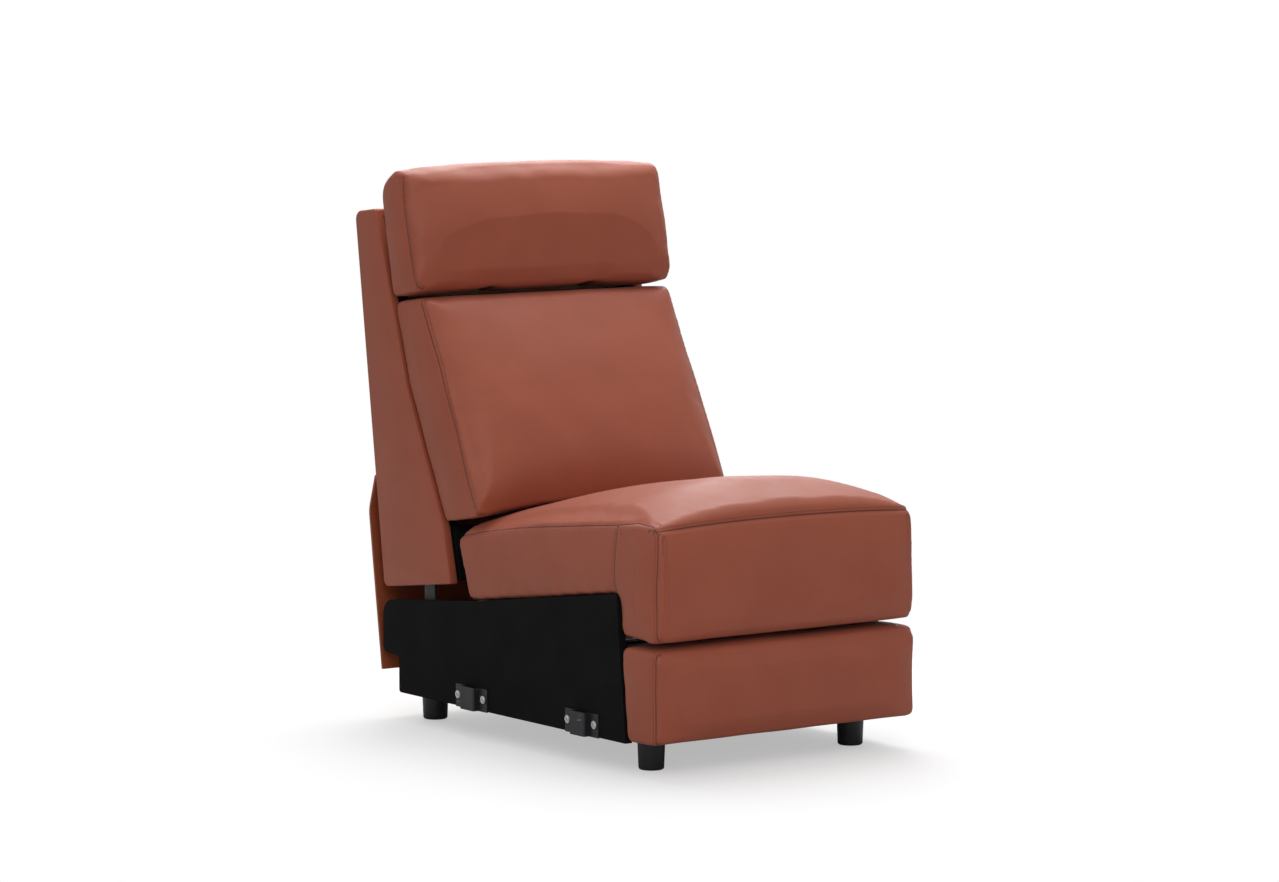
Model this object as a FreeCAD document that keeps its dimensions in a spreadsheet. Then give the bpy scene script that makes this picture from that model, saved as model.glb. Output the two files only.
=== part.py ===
"""Armless reclining chair with a lazy-tong footrest, gliding seat, tilting headrest and rear flap.

The front faces -Y, up is +Z and the origin is on the floor under the middle of the chair.
Depths run from the front face of the chair to the rear; the sheet says where each is measured from.
"""
import FreeCAD, Part
import Sketcher
import math
import os

# Driving sizes: alias, value in millimetres or degrees, meaning
SIZES = (
    ("width", 600, "across the side boards"),
    ("depth", 990, "front face to the rear of the back"),
    ("soft_gap", 0.4, "between a cushion and what lies beside it"),
    ("panel_gap", 1.2, "between the front leather and the side boards"),
    # feet
    ("foot_height", 54, "foot height"),
    ("foot_radius", 25.5, "foot radius"),
    ("foot_inset", 69, "side of the chair to a foot's axis"),
    ("foot_front", 112, "depth of the front feet"),
    ("foot_rear", 169, "rear of the chair to the rear feet"),
    ("plate_wall", 6, "thickness of the foot plates"),
    ("plate_width", 52, "width of the foot plates"),
    ("plate_lead", 11, "foot axis to the free end of its plate"),
    # base
    ("board_wall", 15, "thickness of a side board"),
    ("board_toe", 97, "depth of a side board's lower front corner"),
    ("board_knee", 116, "depth of a side board's front edge at the split"),
    ("board_brow", 125, "depth of a side board's top front corner"),
    ("board_tail", 92, "rear of the chair to a side board's rear edge"),
    ("board_step", 147, "rear of the chair to the heel step in a side board"),
    ("board_low", 55, "height of a side board's lower edge"),
    ("board_split", 237, "height of the split in the front"),
    ("board_top", 325, "height of a side board's top front corner"),
    ("board_dip_depth", 56, "back's lower front corner to the bend in a side board's top edge"),
    ("board_dip", 257, "height of the bend in a side board's top edge"),
    ("board_rear_top", 230, "height of a side board's rear top corner"),
    ("board_heel", 130, "height of the heel step"),
    ("board_round", 34, "radius of a side board's rear top corner"),
    ("rail_wall", 18, "thickness of the wooden rails"),
    ("base_front", 205, "depth of the front base rail"),
    ("base_middle", 470, "rear of the chair to the middle base rail"),
    ("base_rail_height", 70, "height of the base rails"),
    # connectors
    ("hat_front", 230, "depth of the front connector"),
    ("hat_rear", 400, "rear of the chair to the rear connector"),
    ("hat_span", 104, "length of a connector with its flanges"),
    ("hat_width", 46, "length of a connector's raised part"),
    ("hat_proud", 14, "how far a connector stands out"),
    ("hat_wall", 3, "sheet of a connector"),
    ("hat_height", 44, "height of a connector"),
    ("screw_pitch", 84, "between the two screws of a connector"),
    ("screw_head", 7.5, "radius of a screw head"),
    ("screw_rise", 24, "bottom of a connector to its screws"),
    # mechanism
    ("steel_wall", 4, "thickness of links and bars"),
    ("layer_gap", 1, "between moving steel layers"),
    ("mech_wall", 5, "thickness of the base mechanism rails"),
    ("pin_radius", 5, "pivot pins of the links"),
    ("rivet_head", 1.5, "thickness of a rivet head"),
    ("rivet_lip", 2, "width of a rivet head round its shank"),
    ("running", 0.05, "clearance round a pin"),
    ("loose", 0.4, "clearance in an open pivot or slot"),
    ("link_length", 130, "between the pivots of a glide link"),
    ("link_lean", 50, "rearward lean of the glide links at rest"),
    ("link_radius", 10, "half the width of a glide link"),
    ("link_front", 250, "depth of the front base pivots"),
    ("link_rear", 390, "rear of the chair to the rear base pivots"),
    ("link_low", 95, "height of the base pivots"),
    ("tube_radius", 9, "cross tubes"),
    ("hinge_depth", 225, "rear of the chair to the back hinges"),
    ("hinge_height", 215, "height of the back hinges"),
    ("hinge_radius", 15, "round the back hinges"),
    ("post_width", 35, "width of the steel back posts"),
    ("post_wall", 5, "thickness of the steel back posts"),
    # lazy tong
    ("tong_depth", 170, "depth of the fixed tong pivot"),
    ("tong_height", 217, "height of the fixed tong pivot"),
    ("tong_length", 145, "between the end pivots of a tong bar"),
    ("tong_angle", 82, "angle of the folded bars to the floor"),
    ("tong_radius", 8, "half the width of a tong bar"),
    ("tong_pin", 3.5, "pivot pins of the tong"),
    ("tong_open", 8, "angle of the bars when the tong is out"),
    # footrest
    ("pad_low", 57, "height of the pad's lower face"),
    ("pad_top", 236, "height of the pad's top at the front"),
    ("pad_top_rear", 228, "height of the pad's top at the rear"),
    ("pad_round", 25, "radius of the pad's top front corner"),
    ("pad_heel", 13, "radius of the pad's lower front corner"),
    ("pad_board", 12, "thickness of the footrest board"),
    ("pad_board_inset", 22, "side of the chair to the end of the footrest board"),
    # seat
    ("border_low", 243, "height of the seat border's lower face at the front"),
    ("border_low_rear", 250, "height of the seat border's lower face at the rear"),
    ("border_round", 25, "radius of the border's lower front corner"),
    ("border_seam", 127, "depth of the joint between border and seat"),
    ("seat_edge", 457, "height of the seat's front top edge at the sides"),
    ("seat_shoulder", 449, "height of the seat's side seam near the front"),
    ("seat_rear_top", 374, "height of the side seam at the rear"),
    ("seat_rear", 32, "back's front line to the seat's rear top edge"),
    ("seat_crown", 62, "rise of the seat's middle over its sides"),
    ("seat_tuck", 7, "how far cushion sides draw in at the edges"),
    ("seat_rail_wall", 30, "thickness of the seat's side rails"),
    ("seat_rail_front", 80, "height of a seat side rail at the front"),
    ("seat_rail_rear", 50, "height of a seat side rail at the rear"),
    ("strap_width", 60, "width of the webbing"),
    ("strap_wall", 3, "thickness of the webbing"),
    ("strap_pitch", 90, "between the seat straps"),
    # back
    ("back_low_front", 324, "rear of the chair to the back's lower front corner"),
    ("back_low_front_height", 284, "height of that corner"),
    ("back_low_rear", 95, "rear of the chair to the back's lower rear corner"),
    ("back_low_rear_height", 255, "height of that corner"),
    ("back_chin", 298, "rear of the chair to the back's front line under the lumbar cushion"),
    ("back_chin_height", 393, "height of that point"),
    ("back_bend", 175, "rear of the chair to the bend in the back's front line"),
    ("back_bend_height", 650, "height of that bend"),
    ("back_top_front", 68, "rear of the chair to the back's top front corner"),
    ("back_top", 986, "height of the back's shell"),
    ("back_rail_height", 70, "height of the back's rails"),
    ("back_rail_lift", 12, "back's lower front corner up to the lower rail"),
    ("back_rail_drop", 44, "headrest's axis down to the upper rail"),
    ("back_rail_gap", 14, "between the upper and the top rail"),
    ("shell_wall", 20, "thickness of the shell's padded sides"),
    ("shell_rear_wall", 16, "thickness of the shell's padded rear"),
    ("shell_round", 18, "radius of the shell's top rear corner"),
    # lumbar cushion
    ("lumbar_low", 118, "back's front line to the lumbar cushion's lower front edge"),
    ("lumbar_low_height", 27, "back's front line to the height of that edge"),
    ("lumbar_top", 35, "headrest's axis to the lumbar cushion's top front edge"),
    ("lumbar_top_height", 43, "headrest's axis down to that edge"),
    ("lumbar_rear_top_height", 50, "headrest's axis down to the cushion's top rear edge"),
    ("lumbar_crown", 20, "forward crown of the lumbar cushion"),
    # headrest
    ("head_width", 612, "width of the headrest"),
    ("head_axis", 189, "rear of the chair to the headrest's axis"),
    ("head_axis_height", 127, "top of the back down to the headrest's axis"),
    ("head_roll", 31, "radius of the roll round the headrest's axis"),
    ("head_low_rear", 63, "headrest's axis to its lower rear edge"),
    ("head_low_rear_height", 40, "headrest's axis down to that edge"),
    ("head_top_rear", 103, "headrest's axis to its top rear edge"),
    ("head_top_rear_height", 165, "headrest's axis up to that edge"),
    ("head_top_front", 12, "headrest's axis to its top front edge"),
    ("head_top_front_height", 187, "headrest's axis up to that edge"),
    ("head_top", 204, "headrest's axis up to its top at the sides"),
    ("head_crown", 15, "rise and forward crown of the headrest's middle"),
    ("head_arm", 120, "middle of the chair to a headrest arm"),
    ("head_board", 15, "thickness of the headrest board"),
    # rear flap
    ("flap_top", 467, "height of the flap's hinge line"),
    ("flap_belly", 39, "rear of the chair to the flap's fullest line"),
    ("flap_belly_height", 400, "height of that line"),
    ("flap_waist", 53, "rear of the chair to the flap below it"),
    ("flap_waist_height", 302, "height of that line"),
    ("flap_hem", 84, "rear of the chair to the flap's hem"),
    ("flap_low", 92, "height of the flap's hem"),
    ("flap_wall", 5, "thickness of the two layers of leather"),
    ("flap_inset", 2, "side of the chair to the flap's edge"),
)


class Size:
    """A size held as a number and as the sheet expression that drives it."""

    def __init__(self, value, text):
        self.value = value
        self.text = text

    def __add__(self, other):
        other = size(other)
        return Size(self.value + other.value, "(%s + %s)" % (self.text, other.text))

    def __sub__(self, other):
        other = size(other)
        return Size(self.value - other.value, "(%s - %s)" % (self.text, other.text))

    def __mul__(self, other):
        other = size(other)
        return Size(self.value * other.value, "(%s * %s)" % (self.text, other.text))

    def __truediv__(self, other):
        other = size(other)
        return Size(self.value / other.value, "(%s / %s)" % (self.text, other.text))

    def __neg__(self):
        return Size(-self.value, "(0 - %s)" % self.text)

    def __radd__(self, other):
        return size(other) + self

    def __rsub__(self, other):
        return size(other) - self

    def __rmul__(self, other):
        return size(other) * self


def size(value):
    return value if isinstance(value, Size) else Size(value, repr(value))


def sine(angle):
    return Size(math.sin(math.radians(angle.value)), "sin(%s)" % angle.text)


def cosine(angle):
    return Size(math.cos(math.radians(angle.value)), "cos(%s)" % angle.text)


def along(first, last, share):
    """Point at a share of the way from one point to another."""
    return tuple(a + (b - a) * share for a, b in zip(first, last))


def height_on(first, last, depth):
    """Height of the line through two points at a depth."""
    return first[1] + (last[1] - first[1]) * ((depth - first[0]) / (last[0] - first[0]))


def depth_on(first, last, height):
    """Depth of the line through two points at a height."""
    return first[0] + (last[0] - first[0]) * ((height - first[1]) / (last[1] - first[1]))


doc = FreeCAD.newDocument("Recliner")
sheet = doc.addObject("Spreadsheet::Sheet", "Sizes")
for row, (alias, value, meaning) in enumerate(SIZES, 1):
    sheet.set("A%d" % row, meaning)
    sheet.set("B%d" % row, str(value))
    sheet.setAlias("B%d" % row, alias)
doc.recompute()


class Named:
    """The sheet's sizes by name."""


by = Named()
for alias, value, meaning in SIZES:
    setattr(by, alias, Size(value, "Sizes." + alias))

# The rear half is placed from the rear of the chair, and what meets the back from the back
for alias in (
    "foot_rear", "board_tail", "board_step", "base_middle", "hat_rear", "link_rear", "hinge_depth",
    "back_low_front", "back_low_rear", "back_chin", "back_bend", "back_top_front", "head_axis",
    "flap_belly", "flap_waist", "flap_hem",
):
    setattr(by, alias, by.depth - getattr(by, alias))
by.board_dip_depth = by.back_low_front - by.board_dip_depth
by.seat_rear = by.back_chin - by.seat_rear
by.lumbar_low = by.back_chin - by.lumbar_low
by.lumbar_low_height = by.back_chin_height + by.lumbar_low_height
by.lumbar_top = by.head_axis - by.lumbar_top
by.head_low_rear = by.head_axis + by.head_low_rear
by.head_top_rear = by.head_axis + by.head_top_rear
by.head_top_front = by.head_axis + by.head_top_front
by.head_axis_height = by.back_top - by.head_axis_height
for alias in ("lumbar_top_height", "lumbar_rear_top_height", "head_low_rear_height"):
    setattr(by, alias, by.head_axis_height - getattr(by, alias))
for alias in ("head_top_rear_height", "head_top_front_height", "head_top"):
    setattr(by, alias, by.head_axis_height + getattr(by, alias))

half_width = by.width / 2


def at(depth):
    """Y of a depth measured from the front face."""
    return depth - by.depth / 2


def point(depth, height):
    return at(depth), size(height)


# Sketches and features

def new_body(label):
    body = doc.addObject("PartDesign::Body", label)
    body.Label = label
    return body


def datum(body, role):
    """Plane or axis of a body's own origin."""
    return [feature for feature in body.Origin.OriginFeatures if feature.Role == role][0]


def new_sketch(body, role, offset=None):
    sketch = body.newObject("Sketcher::SketchObject", "Sketch")
    sketch.AttachmentSupport = [(datum(body, role), "")]
    sketch.MapMode = "FlatFace"
    if offset is not None:
        sketch.setExpression(".AttachmentOffset.Base.z", offset.text)
    return sketch


def fix(sketch, kind, where, length):
    index = sketch.addConstraint(Sketcher.Constraint(kind, *where, length.value))
    sketch.setExpression("Constraints[%d]" % index, length.text)


def place(sketch, geometry, end, across, up):
    fix(sketch, "DistanceX", (geometry, end), across)
    fix(sketch, "DistanceY", (geometry, end), up)


def circle(sketch, centre, radius):
    across, up = centre
    middle = FreeCAD.Vector(across.value, up.value, 0)
    index = sketch.addGeometry(Part.Circle(middle, FreeCAD.Vector(0, 0, 1), radius.value), False)
    place(sketch, index, 3, across, up)
    fix(sketch, "Radius", (index,), radius)


def turn(before, corner, after, radius):
    """Entry, exit, centre and sense of the arc that rounds a corner."""
    back = (before - corner).normalize()
    ahead = (after - corner).normalize()
    half = back.getAngle(ahead) / 2
    cut = radius / math.tan(half)
    middle = corner + (back + ahead).normalize() * (radius / math.sin(half))
    left = (corner - before).cross(after - corner).z > 0
    return corner + back * cut, corner + ahead * cut, middle, left


def arc_between(start, end, middle, radius):
    """Arc of a circle that runs anticlockwise from one point to another."""
    first = math.atan2(start.y - middle.y, start.x - middle.x)
    last = math.atan2(end.y - middle.y, end.x - middle.x)
    if last < first:
        last += 2 * math.pi
    ring = Part.Circle(middle, FreeCAD.Vector(0, 0, 1), radius)
    return Part.ArcOfCircle(ring, first, last)


def outline(sketch, corners):
    """Closed outline through (point, radius) corners, where a radius of None leaves one sharp."""
    spots = [FreeCAD.Vector(spot[0].value, spot[1].value, 0) for spot, radius in corners]
    count = len(corners)
    turns = []
    for index, (spot, radius) in enumerate(corners):
        if radius is None:
            turns.append((spots[index], spots[index], None, True))
        else:
            before = spots[index - 1]
            after = spots[(index + 1) % count]
            turns.append(turn(before, spots[index], after, radius.value))
    lines = []
    for index in range(count):
        start = turns[index][1]
        end = turns[(index + 1) % count][0]
        lines.append(sketch.addGeometry(Part.LineSegment(start, end), False))
    for index, (spot, radius) in enumerate(corners):
        before = lines[index - 1]
        after = lines[index]
        if radius is None:
            sketch.addConstraint(Sketcher.Constraint("Coincident", before, 2, after, 1))
            place(sketch, after, 1, *spot)
            continue
        entry, leave, middle, left = turns[index]
        ends = (entry, leave) if left else (leave, entry)
        arc = sketch.addGeometry(arc_between(ends[0], ends[1], middle, radius.value), False)
        corner = sketch.addGeometry(Part.Point(spots[index]), True)
        sketch.addConstraint(Sketcher.Constraint("Tangent", before, 2, arc, 1 if left else 2))
        sketch.addConstraint(Sketcher.Constraint("Tangent", arc, 2 if left else 1, after, 1))
        sketch.addConstraint(Sketcher.Constraint("PointOnObject", corner, 1, before))
        sketch.addConstraint(Sketcher.Constraint("PointOnObject", corner, 1, after))
        place(sketch, corner, 1, *spot)
        fix(sketch, "Radius", (arc,), radius)


def bulged(sketch, nodes):
    """Closed outline through (point, bulge) nodes, anticlockwise, each bulge on the way to the next."""
    count = len(nodes)
    edges = []
    for index, (spot, bulge) in enumerate(nodes):
        other = nodes[(index + 1) % count][0]
        start = FreeCAD.Vector(spot[0].value, spot[1].value, 0)
        end = FreeCAD.Vector(other[0].value, other[1].value, 0)
        if bulge is None:
            edges.append(sketch.addGeometry(Part.LineSegment(start, end), False))
            continue
        across = other[0] - spot[0]
        up = other[1] - spot[1]
        radius = ((across * across + up * up) / 4 + bulge * bulge) / (2 * bulge)
        inward = FreeCAD.Vector(-up.value, across.value, 0).normalize()
        middle = (start + end) * 0.5 + inward * (radius.value - bulge.value)
        edges.append(sketch.addGeometry(arc_between(start, end, middle, radius.value), False))
        fix(sketch, "Radius", (edges[-1],), radius)
    for index, (spot, bulge) in enumerate(nodes):
        joint = Sketcher.Constraint("Coincident", edges[index - 1], 2, edges[index], 1)
        sketch.addConstraint(joint)
        place(sketch, edges[index], 1, *spot)


def pad(body, sketch, length):
    feature = body.newObject("PartDesign::Pad", "Pad")
    feature.Profile = (sketch, [""])
    feature.Length = length.value
    feature.setExpression("Length", length.text)
    return feature


def pocket(body, sketch, length, backwards=False):
    feature = body.newObject("PartDesign::Pocket", "Pocket")
    feature.Profile = (sketch, [""])
    feature.Length = length.value
    feature.Reversed = backwards
    feature.setExpression("Length", length.text)
    return feature


def mirror(body):
    """Copy of the whole body on the other side of the chair."""
    last = body.Tip
    feature = body.newObject("PartDesign::Mirrored", "Mirrored")
    feature.TransformMode = "Whole shape"
    feature.Originals = [last]
    feature.MirrorPlane = (datum(body, "YZ_Plane"), [""])
    body.Tip = feature
    return feature


def plate(label, inner, outer, corners):
    """Body padded from one X to another from a side outline."""
    body = new_body(label)
    sketch = new_sketch(body, "YZ_Plane", inner)
    outline(sketch, corners)
    pad(body, sketch, outer - inner)
    return body


def box(label, left, right, front, rear, low, top):
    corners = [((front, low), None), ((rear, low), None), ((rear, top), None), ((front, top), None)]
    return plate(label, left, right, corners)


def pin(body, inner, outer, centre, radius):
    """Round pin across the chair that is fixed in the body."""
    sketch = new_sketch(body, "YZ_Plane", inner)
    circle(sketch, centre, radius)
    pad(body, sketch, outer - inner)


def hole(body, inner, outer, centre, radius):
    sketch = new_sketch(body, "YZ_Plane", inner)
    circle(sketch, centre, radius)
    pocket(body, sketch, outer - inner, True)


def lofted(label, sections):
    """Cushion drawn through (X, nodes) sections from one side to the other."""
    body = new_body(label)
    sketches = []
    for offset, nodes in sections:
        sketch = new_sketch(body, "YZ_Plane", offset)
        bulged(sketch, nodes)
        sketches.append(sketch)
    loft = body.newObject("PartDesign::AdditiveLoft", "Loft")
    loft.Profile = (sketches[0], [""])
    loft.Sections = [(sketch, [""]) for sketch in sketches[1:]]
    loft.Ruled = True
    return body


def bar(label, inner, length, radius, pivot, angle):
    """Flat bar with clipped ends, drawn along Y from its first pivot and then turned about X."""
    body = new_body(label)
    sketch = new_sketch(body, "YZ_Plane", inner)
    clip = radius * math.tan(math.pi / 8)
    corners = [
        ((-radius, clip), None),
        ((-radius, -clip), None),
        ((-clip, -radius), None),
        ((length + clip, -radius), None),
        ((length + radius, -clip), None),
        ((length + radius, clip), None),
        ((length + clip, radius), None),
        ((-clip, radius), None),
    ]
    outline(sketch, corners)
    pad(body, sketch, by.steel_wall)
    body.Placement.Rotation = FreeCAD.Rotation(FreeCAD.Vector(1, 0, 0), angle.value)
    body.setExpression("Placement.Base.y", pivot[0].text)
    body.setExpression("Placement.Base.z", pivot[1].text)
    body.setExpression("Placement.Rotation.Angle", angle.text)
    return body


def six_sided(body, inner, outer, centre, radius):
    """Six-sided head across the chair, of a circle's radius to its corners."""
    sketch = new_sketch(body, "YZ_Plane", inner)
    corners = []
    for step in range(6):
        angle = math.radians(60 * step)
        spot = (centre[0] + radius * math.cos(angle), centre[1] + radius * math.sin(angle))
        corners.append((spot, None))
    outline(sketch, corners)
    pad(body, sketch, outer - inner)


def rivet(body, start, end, centre, radius):
    """Pin from a bar through its neighbour, with a head past the neighbour's far face."""
    outward = end.value > start.value
    shank = (start, end) if outward else (end, start)
    pin(body, shank[0], shank[1], centre, radius)
    head = (end, end + by.rivet_head) if outward else (end - by.rivet_head, end)
    six_sided(body, head[0], head[1], centre, radius + by.rivet_lip)


# Stations of a cushion: share of the half width, share of the crown, share of the side tuck
HALF_STATIONS = (
    (1.0, 0.0, 1.0),
    (0.985, 0.05, 0.15),
    (0.93, 0.2, 0.0),
    (0.78, 0.52, 0.0),
    (0.5, 0.84, 0.0),
)
STATIONS = (
    tuple((-across, crown, tuck) for across, crown, tuck in HALF_STATIONS)
    + ((0.0, 1.0, 0.0),)
    + HALF_STATIONS[::-1]
)


def cushion(label, half, rows):
    """Cushion from rows of (point, inward signs, crown shift, side bulge, extra bulge of the middle)."""
    sections = []
    for across, crown, tuck in STATIONS:
        nodes = []
        for spot, inward, shift, bulge, swell in rows:
            depth = spot[0] + by.seat_tuck * inward[0] * tuck + shift[0] * crown
            height = spot[1] + by.seat_tuck * inward[1] * tuck + shift[1] * crown
            nodes.append(((depth, height), None if bulge is None else size(bulge) + swell * crown))
        sections.append((half * across, nodes))
    return lofted(label, sections)


# Positions that several pieces share

board_outer = half_width
board_inner = half_width - by.board_wall
toe = point(by.board_toe, by.board_low)
knee = point(by.board_knee, by.board_split)
brow = point(by.board_brow, by.board_top)
dip = point(by.board_dip_depth, by.board_dip)
plate_top = by.foot_height + by.plate_wall

mech_outer = board_inner
mech_inner = mech_outer - by.mech_wall
link_outer = mech_inner - by.layer_gap
link_inner = link_outer - by.steel_wall
seat_plate_outer = link_inner - by.layer_gap
seat_plate_inner = seat_plate_outer - by.steel_wall
post_inner = link_inner
post_outer = post_inner + by.post_wall
outer_bar_outer = seat_plate_inner - 2 * by.layer_gap
outer_bar_inner = outer_bar_outer - by.steel_wall
inner_bar_outer = outer_bar_inner - by.layer_gap
inner_bar_inner = inner_bar_outer - by.steel_wall

link_run = by.link_length * sine(by.link_lean)
link_rise = by.link_length * cosine(by.link_lean)
front_pivot = point(by.link_front, by.link_low)
rear_pivot = point(by.link_rear, by.link_low)
front_seat_pivot = (front_pivot[0] + link_run, front_pivot[1] + link_rise)
rear_seat_pivot = (rear_pivot[0] + link_run, rear_pivot[1] + link_rise)
hinge = point(by.hinge_depth, by.hinge_height)

tong_step = by.tong_length * cosine(by.tong_angle)
tong_drop = by.tong_length * sine(by.tong_angle)
tong_fixed = point(by.tong_depth, by.tong_height)
tong_foot = tong_fixed[1] - tong_drop
tong_slide = (tong_fixed[0], tong_foot)
tong_first = (tong_fixed[0] - tong_step, tong_foot)
tong_head = (tong_fixed[0] - tong_step, tong_fixed[1])
tong_second = (tong_fixed[0] - 2 * tong_step, tong_foot)
tong_lead = (tong_fixed[0] - 2 * tong_step, tong_fixed[1])
tong_last = (tong_fixed[0] - 3 * tong_step, tong_foot)

back_low_front = point(by.back_low_front, by.back_low_front_height)
back_low_rear = point(by.back_low_rear, by.back_low_rear_height)
back_chin = point(by.back_chin, by.back_chin_height)
back_bend = point(by.back_bend, by.back_bend_height)
back_top_front = point(by.back_top_front, by.back_top)
back_top_rear = point(by.depth + 2.4, by.back_top - 8)
head_axis = point(by.head_axis, by.head_axis_height)


def back_front(height, offset):
    """Point at a height beside the upper front line of the back."""
    return depth_on(back_bend, back_top_front, height) + offset, size(height)


def back_rear(height, offset):
    """Point at a height beside the rear line of the back."""
    return depth_on(back_low_rear, back_top_rear, height) + offset, size(height)


# Base

def side_board(label, inner):
    corners = [
        (toe, None),
        (point(by.board_step, by.board_low), by.pad_heel / 2),
        (point(by.board_step, by.board_heel - 6), None),
        (point(by.board_tail, by.board_heel), by.pad_heel),
        (point(by.board_tail, by.board_rear_top), by.board_round),
        (dip, None),
        (brow, None),
        (knee, None),
    ]
    return plate(label, inner, inner + by.board_wall, corners)


side_board("side_board_left", -half_width)
side_board("side_board_right", board_inner)


def base_rail(label, depth, low, half):
    return box(label, -half, half, at(depth), at(depth) + by.rail_wall, low, low + by.base_rail_height)


base_rail("base_rail_front", by.base_front, plate_top, board_inner)
base_rail("base_rail_middle", by.base_middle, plate_top, mech_inner)
base_rail("base_rail_rear_low", by.board_step - by.rail_wall - 3, plate_top, board_inner)
base_rail("base_rail_rear_top", by.board_tail - 2 * by.rail_wall, by.board_heel + 4, board_inner)


def foot_plates(label, front, rear):
    """Steel plates under a base rail that carry the two feet of one end."""
    left = half_width - by.foot_inset - by.plate_width / 2
    body = box(label, left, left + by.plate_width, front, rear, by.foot_height, plate_top)
    mirror(body)


foot_plates("foot_plates_front", at(by.foot_front) - by.plate_lead, at(by.base_front) + by.rail_wall)
foot_plates("foot_plates_rear", at(by.foot_rear) - by.foot_radius, at(by.board_step) - 3)


def foot(label, side, depth):
    body = new_body(label)
    sketch = new_sketch(body, "XY_Plane")
    circle(sketch, (side * (half_width - by.foot_inset), at(depth)), by.foot_radius)
    pad(body, sketch, by.foot_height)


foot("foot_front_left", -1, by.foot_front)
foot("foot_front_right", 1, by.foot_front)
foot("foot_rear_left", -1, by.foot_rear)
foot("foot_rear_right", 1, by.foot_rear)


def connectors(label, depth):
    """Hat section brackets on both side boards, open below."""
    body = new_body(label)
    sketch = new_sketch(body, "XY_Plane", by.foot_height)
    middle = at(depth)
    side = half_width
    sheet_face = side + by.hat_wall
    crest = side + by.hat_proud
    far = by.hat_span / 2
    outer = by.hat_width / 2
    inner = outer - by.hat_wall
    corners = [
        ((side, middle - far), None),
        ((sheet_face, middle - far), None),
        ((sheet_face, middle - outer), None),
        ((crest, middle - outer), by.hat_wall),
        ((crest, middle + outer), by.hat_wall),
        ((sheet_face, middle + outer), None),
        ((sheet_face, middle + far), None),
        ((side, middle + far), None),
        ((side, middle + inner), None),
        ((crest - by.hat_wall, middle + inner), None),
        ((crest - by.hat_wall, middle - inner), None),
        ((side, middle - inner), None),
    ]
    outline(sketch, corners)
    pad(body, sketch, by.hat_height)
    mirror(body)


connectors("connectors_front", by.hat_front)
connectors("connectors_rear", by.hat_rear)

screws = new_body("connector_screws")
screw_sketch = new_sketch(screws, "YZ_Plane", half_width + by.hat_wall)
for hat in (by.hat_front, by.hat_rear):
    for side in (-0.5, 0.5):
        centre = (at(hat) + by.screw_pitch * side, by.foot_height + by.screw_rise)
        circle(screw_sketch, centre, by.screw_head)
pad(screws, screw_sketch, by.hat_wall)
mirror(screws)

mech = box(
    "mechanism_rails",
    mech_inner,
    mech_outer,
    at(by.base_front) + by.rail_wall + by.layer_gap,
    rear_pivot[0] + 4 * by.link_radius,
    by.link_low - 2 * by.link_radius,
    by.link_low + 2 * by.link_radius,
)
for pivot in (front_pivot, rear_pivot):
    rivet(mech, mech_inner, link_inner, pivot, by.pin_radius)
mirror(mech)


# Glide links

def glide_links(label, pivot):
    """Pair of links that carry the seat on the base."""
    body = bar(label, link_inner, by.link_length, by.link_radius, pivot, 90 - by.link_lean)
    for end in (size(0), by.link_length):
        hole(body, link_inner, link_outer, (end, size(0)), by.pin_radius + by.running)
    mirror(body)


def cross_tube(label, half, centre):
    body = new_body(label)
    pin(body, -half, half, centre, by.tube_radius)


glide_links("glide_links_front", front_pivot)
glide_links("glide_links_rear", rear_pivot)
cross_tube("glide_tube_front", link_inner, along(front_pivot, front_seat_pivot, 0.5))
cross_tube("glide_tube_rear", link_inner, along(rear_pivot, rear_seat_pivot, 0.5))


# Seat frame

slot_half = by.tong_pin + by.loose
tab_half = 2 * by.tong_radius - 1
plate_low = front_seat_pivot[1] - 1.4 * by.link_radius
ear_top = hinge[1] + 1.1 * by.hinge_radius
seat_plates = plate(
    "seat_plates",
    seat_plate_inner,
    seat_plate_outer,
    [
        ((tong_fixed[0] - tab_half, tong_foot - 10), None),
        ((tong_fixed[0] + tab_half, tong_foot - 10), None),
        ((tong_fixed[0] + tab_half, tong_fixed[1] - 2 * by.tong_radius), None),
        ((front_seat_pivot[0] - 2 * by.link_radius, plate_low), None),
        ((rear_seat_pivot[0] + 2 * by.link_radius, plate_low), None),
        ((hinge[0] + by.hinge_radius, hinge[1] - by.hinge_radius), by.link_radius),
        ((hinge[0] + by.hinge_radius, ear_top), by.link_radius),
        ((at(by.board_dip_depth), ear_top), None),
        ((front_seat_pivot[0], tong_fixed[1] + 45), None),
        ((tong_fixed[0] - tab_half, tong_fixed[1] + 45), None),
    ],
)
slot = new_sketch(seat_plates, "YZ_Plane", seat_plate_inner)
slot_low = tong_foot - slot_half
slot_top = tong_fixed[1] - by.tong_length * sine(by.tong_open) + slot_half
slot_corners = [
    ((tong_fixed[0] - slot_half, slot_low), None),
    ((tong_fixed[0] + slot_half, slot_low), None),
    ((tong_fixed[0] + slot_half, slot_top), None),
    ((tong_fixed[0] - slot_half, slot_top), None),
]
outline(slot, slot_corners)
pocket(seat_plates, slot, by.steel_wall, True)
for pivot in (front_seat_pivot, rear_seat_pivot):
    rivet(seat_plates, seat_plate_outer, link_outer, pivot, by.pin_radius)
rivet(seat_plates, seat_plate_outer, post_outer, hinge, by.pin_radius)
rivet(seat_plates, seat_plate_inner, outer_bar_inner, tong_fixed, by.tong_pin)
mirror(seat_plates)

seat_under = by.panel_gap
rail_front = at(by.border_seam) + 1
rail_rear = at(by.board_dip_depth)


def under_seat(depth, drop):
    """Point under the seat cushion's lower face."""
    return depth, height_on(brow, dip, depth) + seat_under - by.soft_gap - drop


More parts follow.
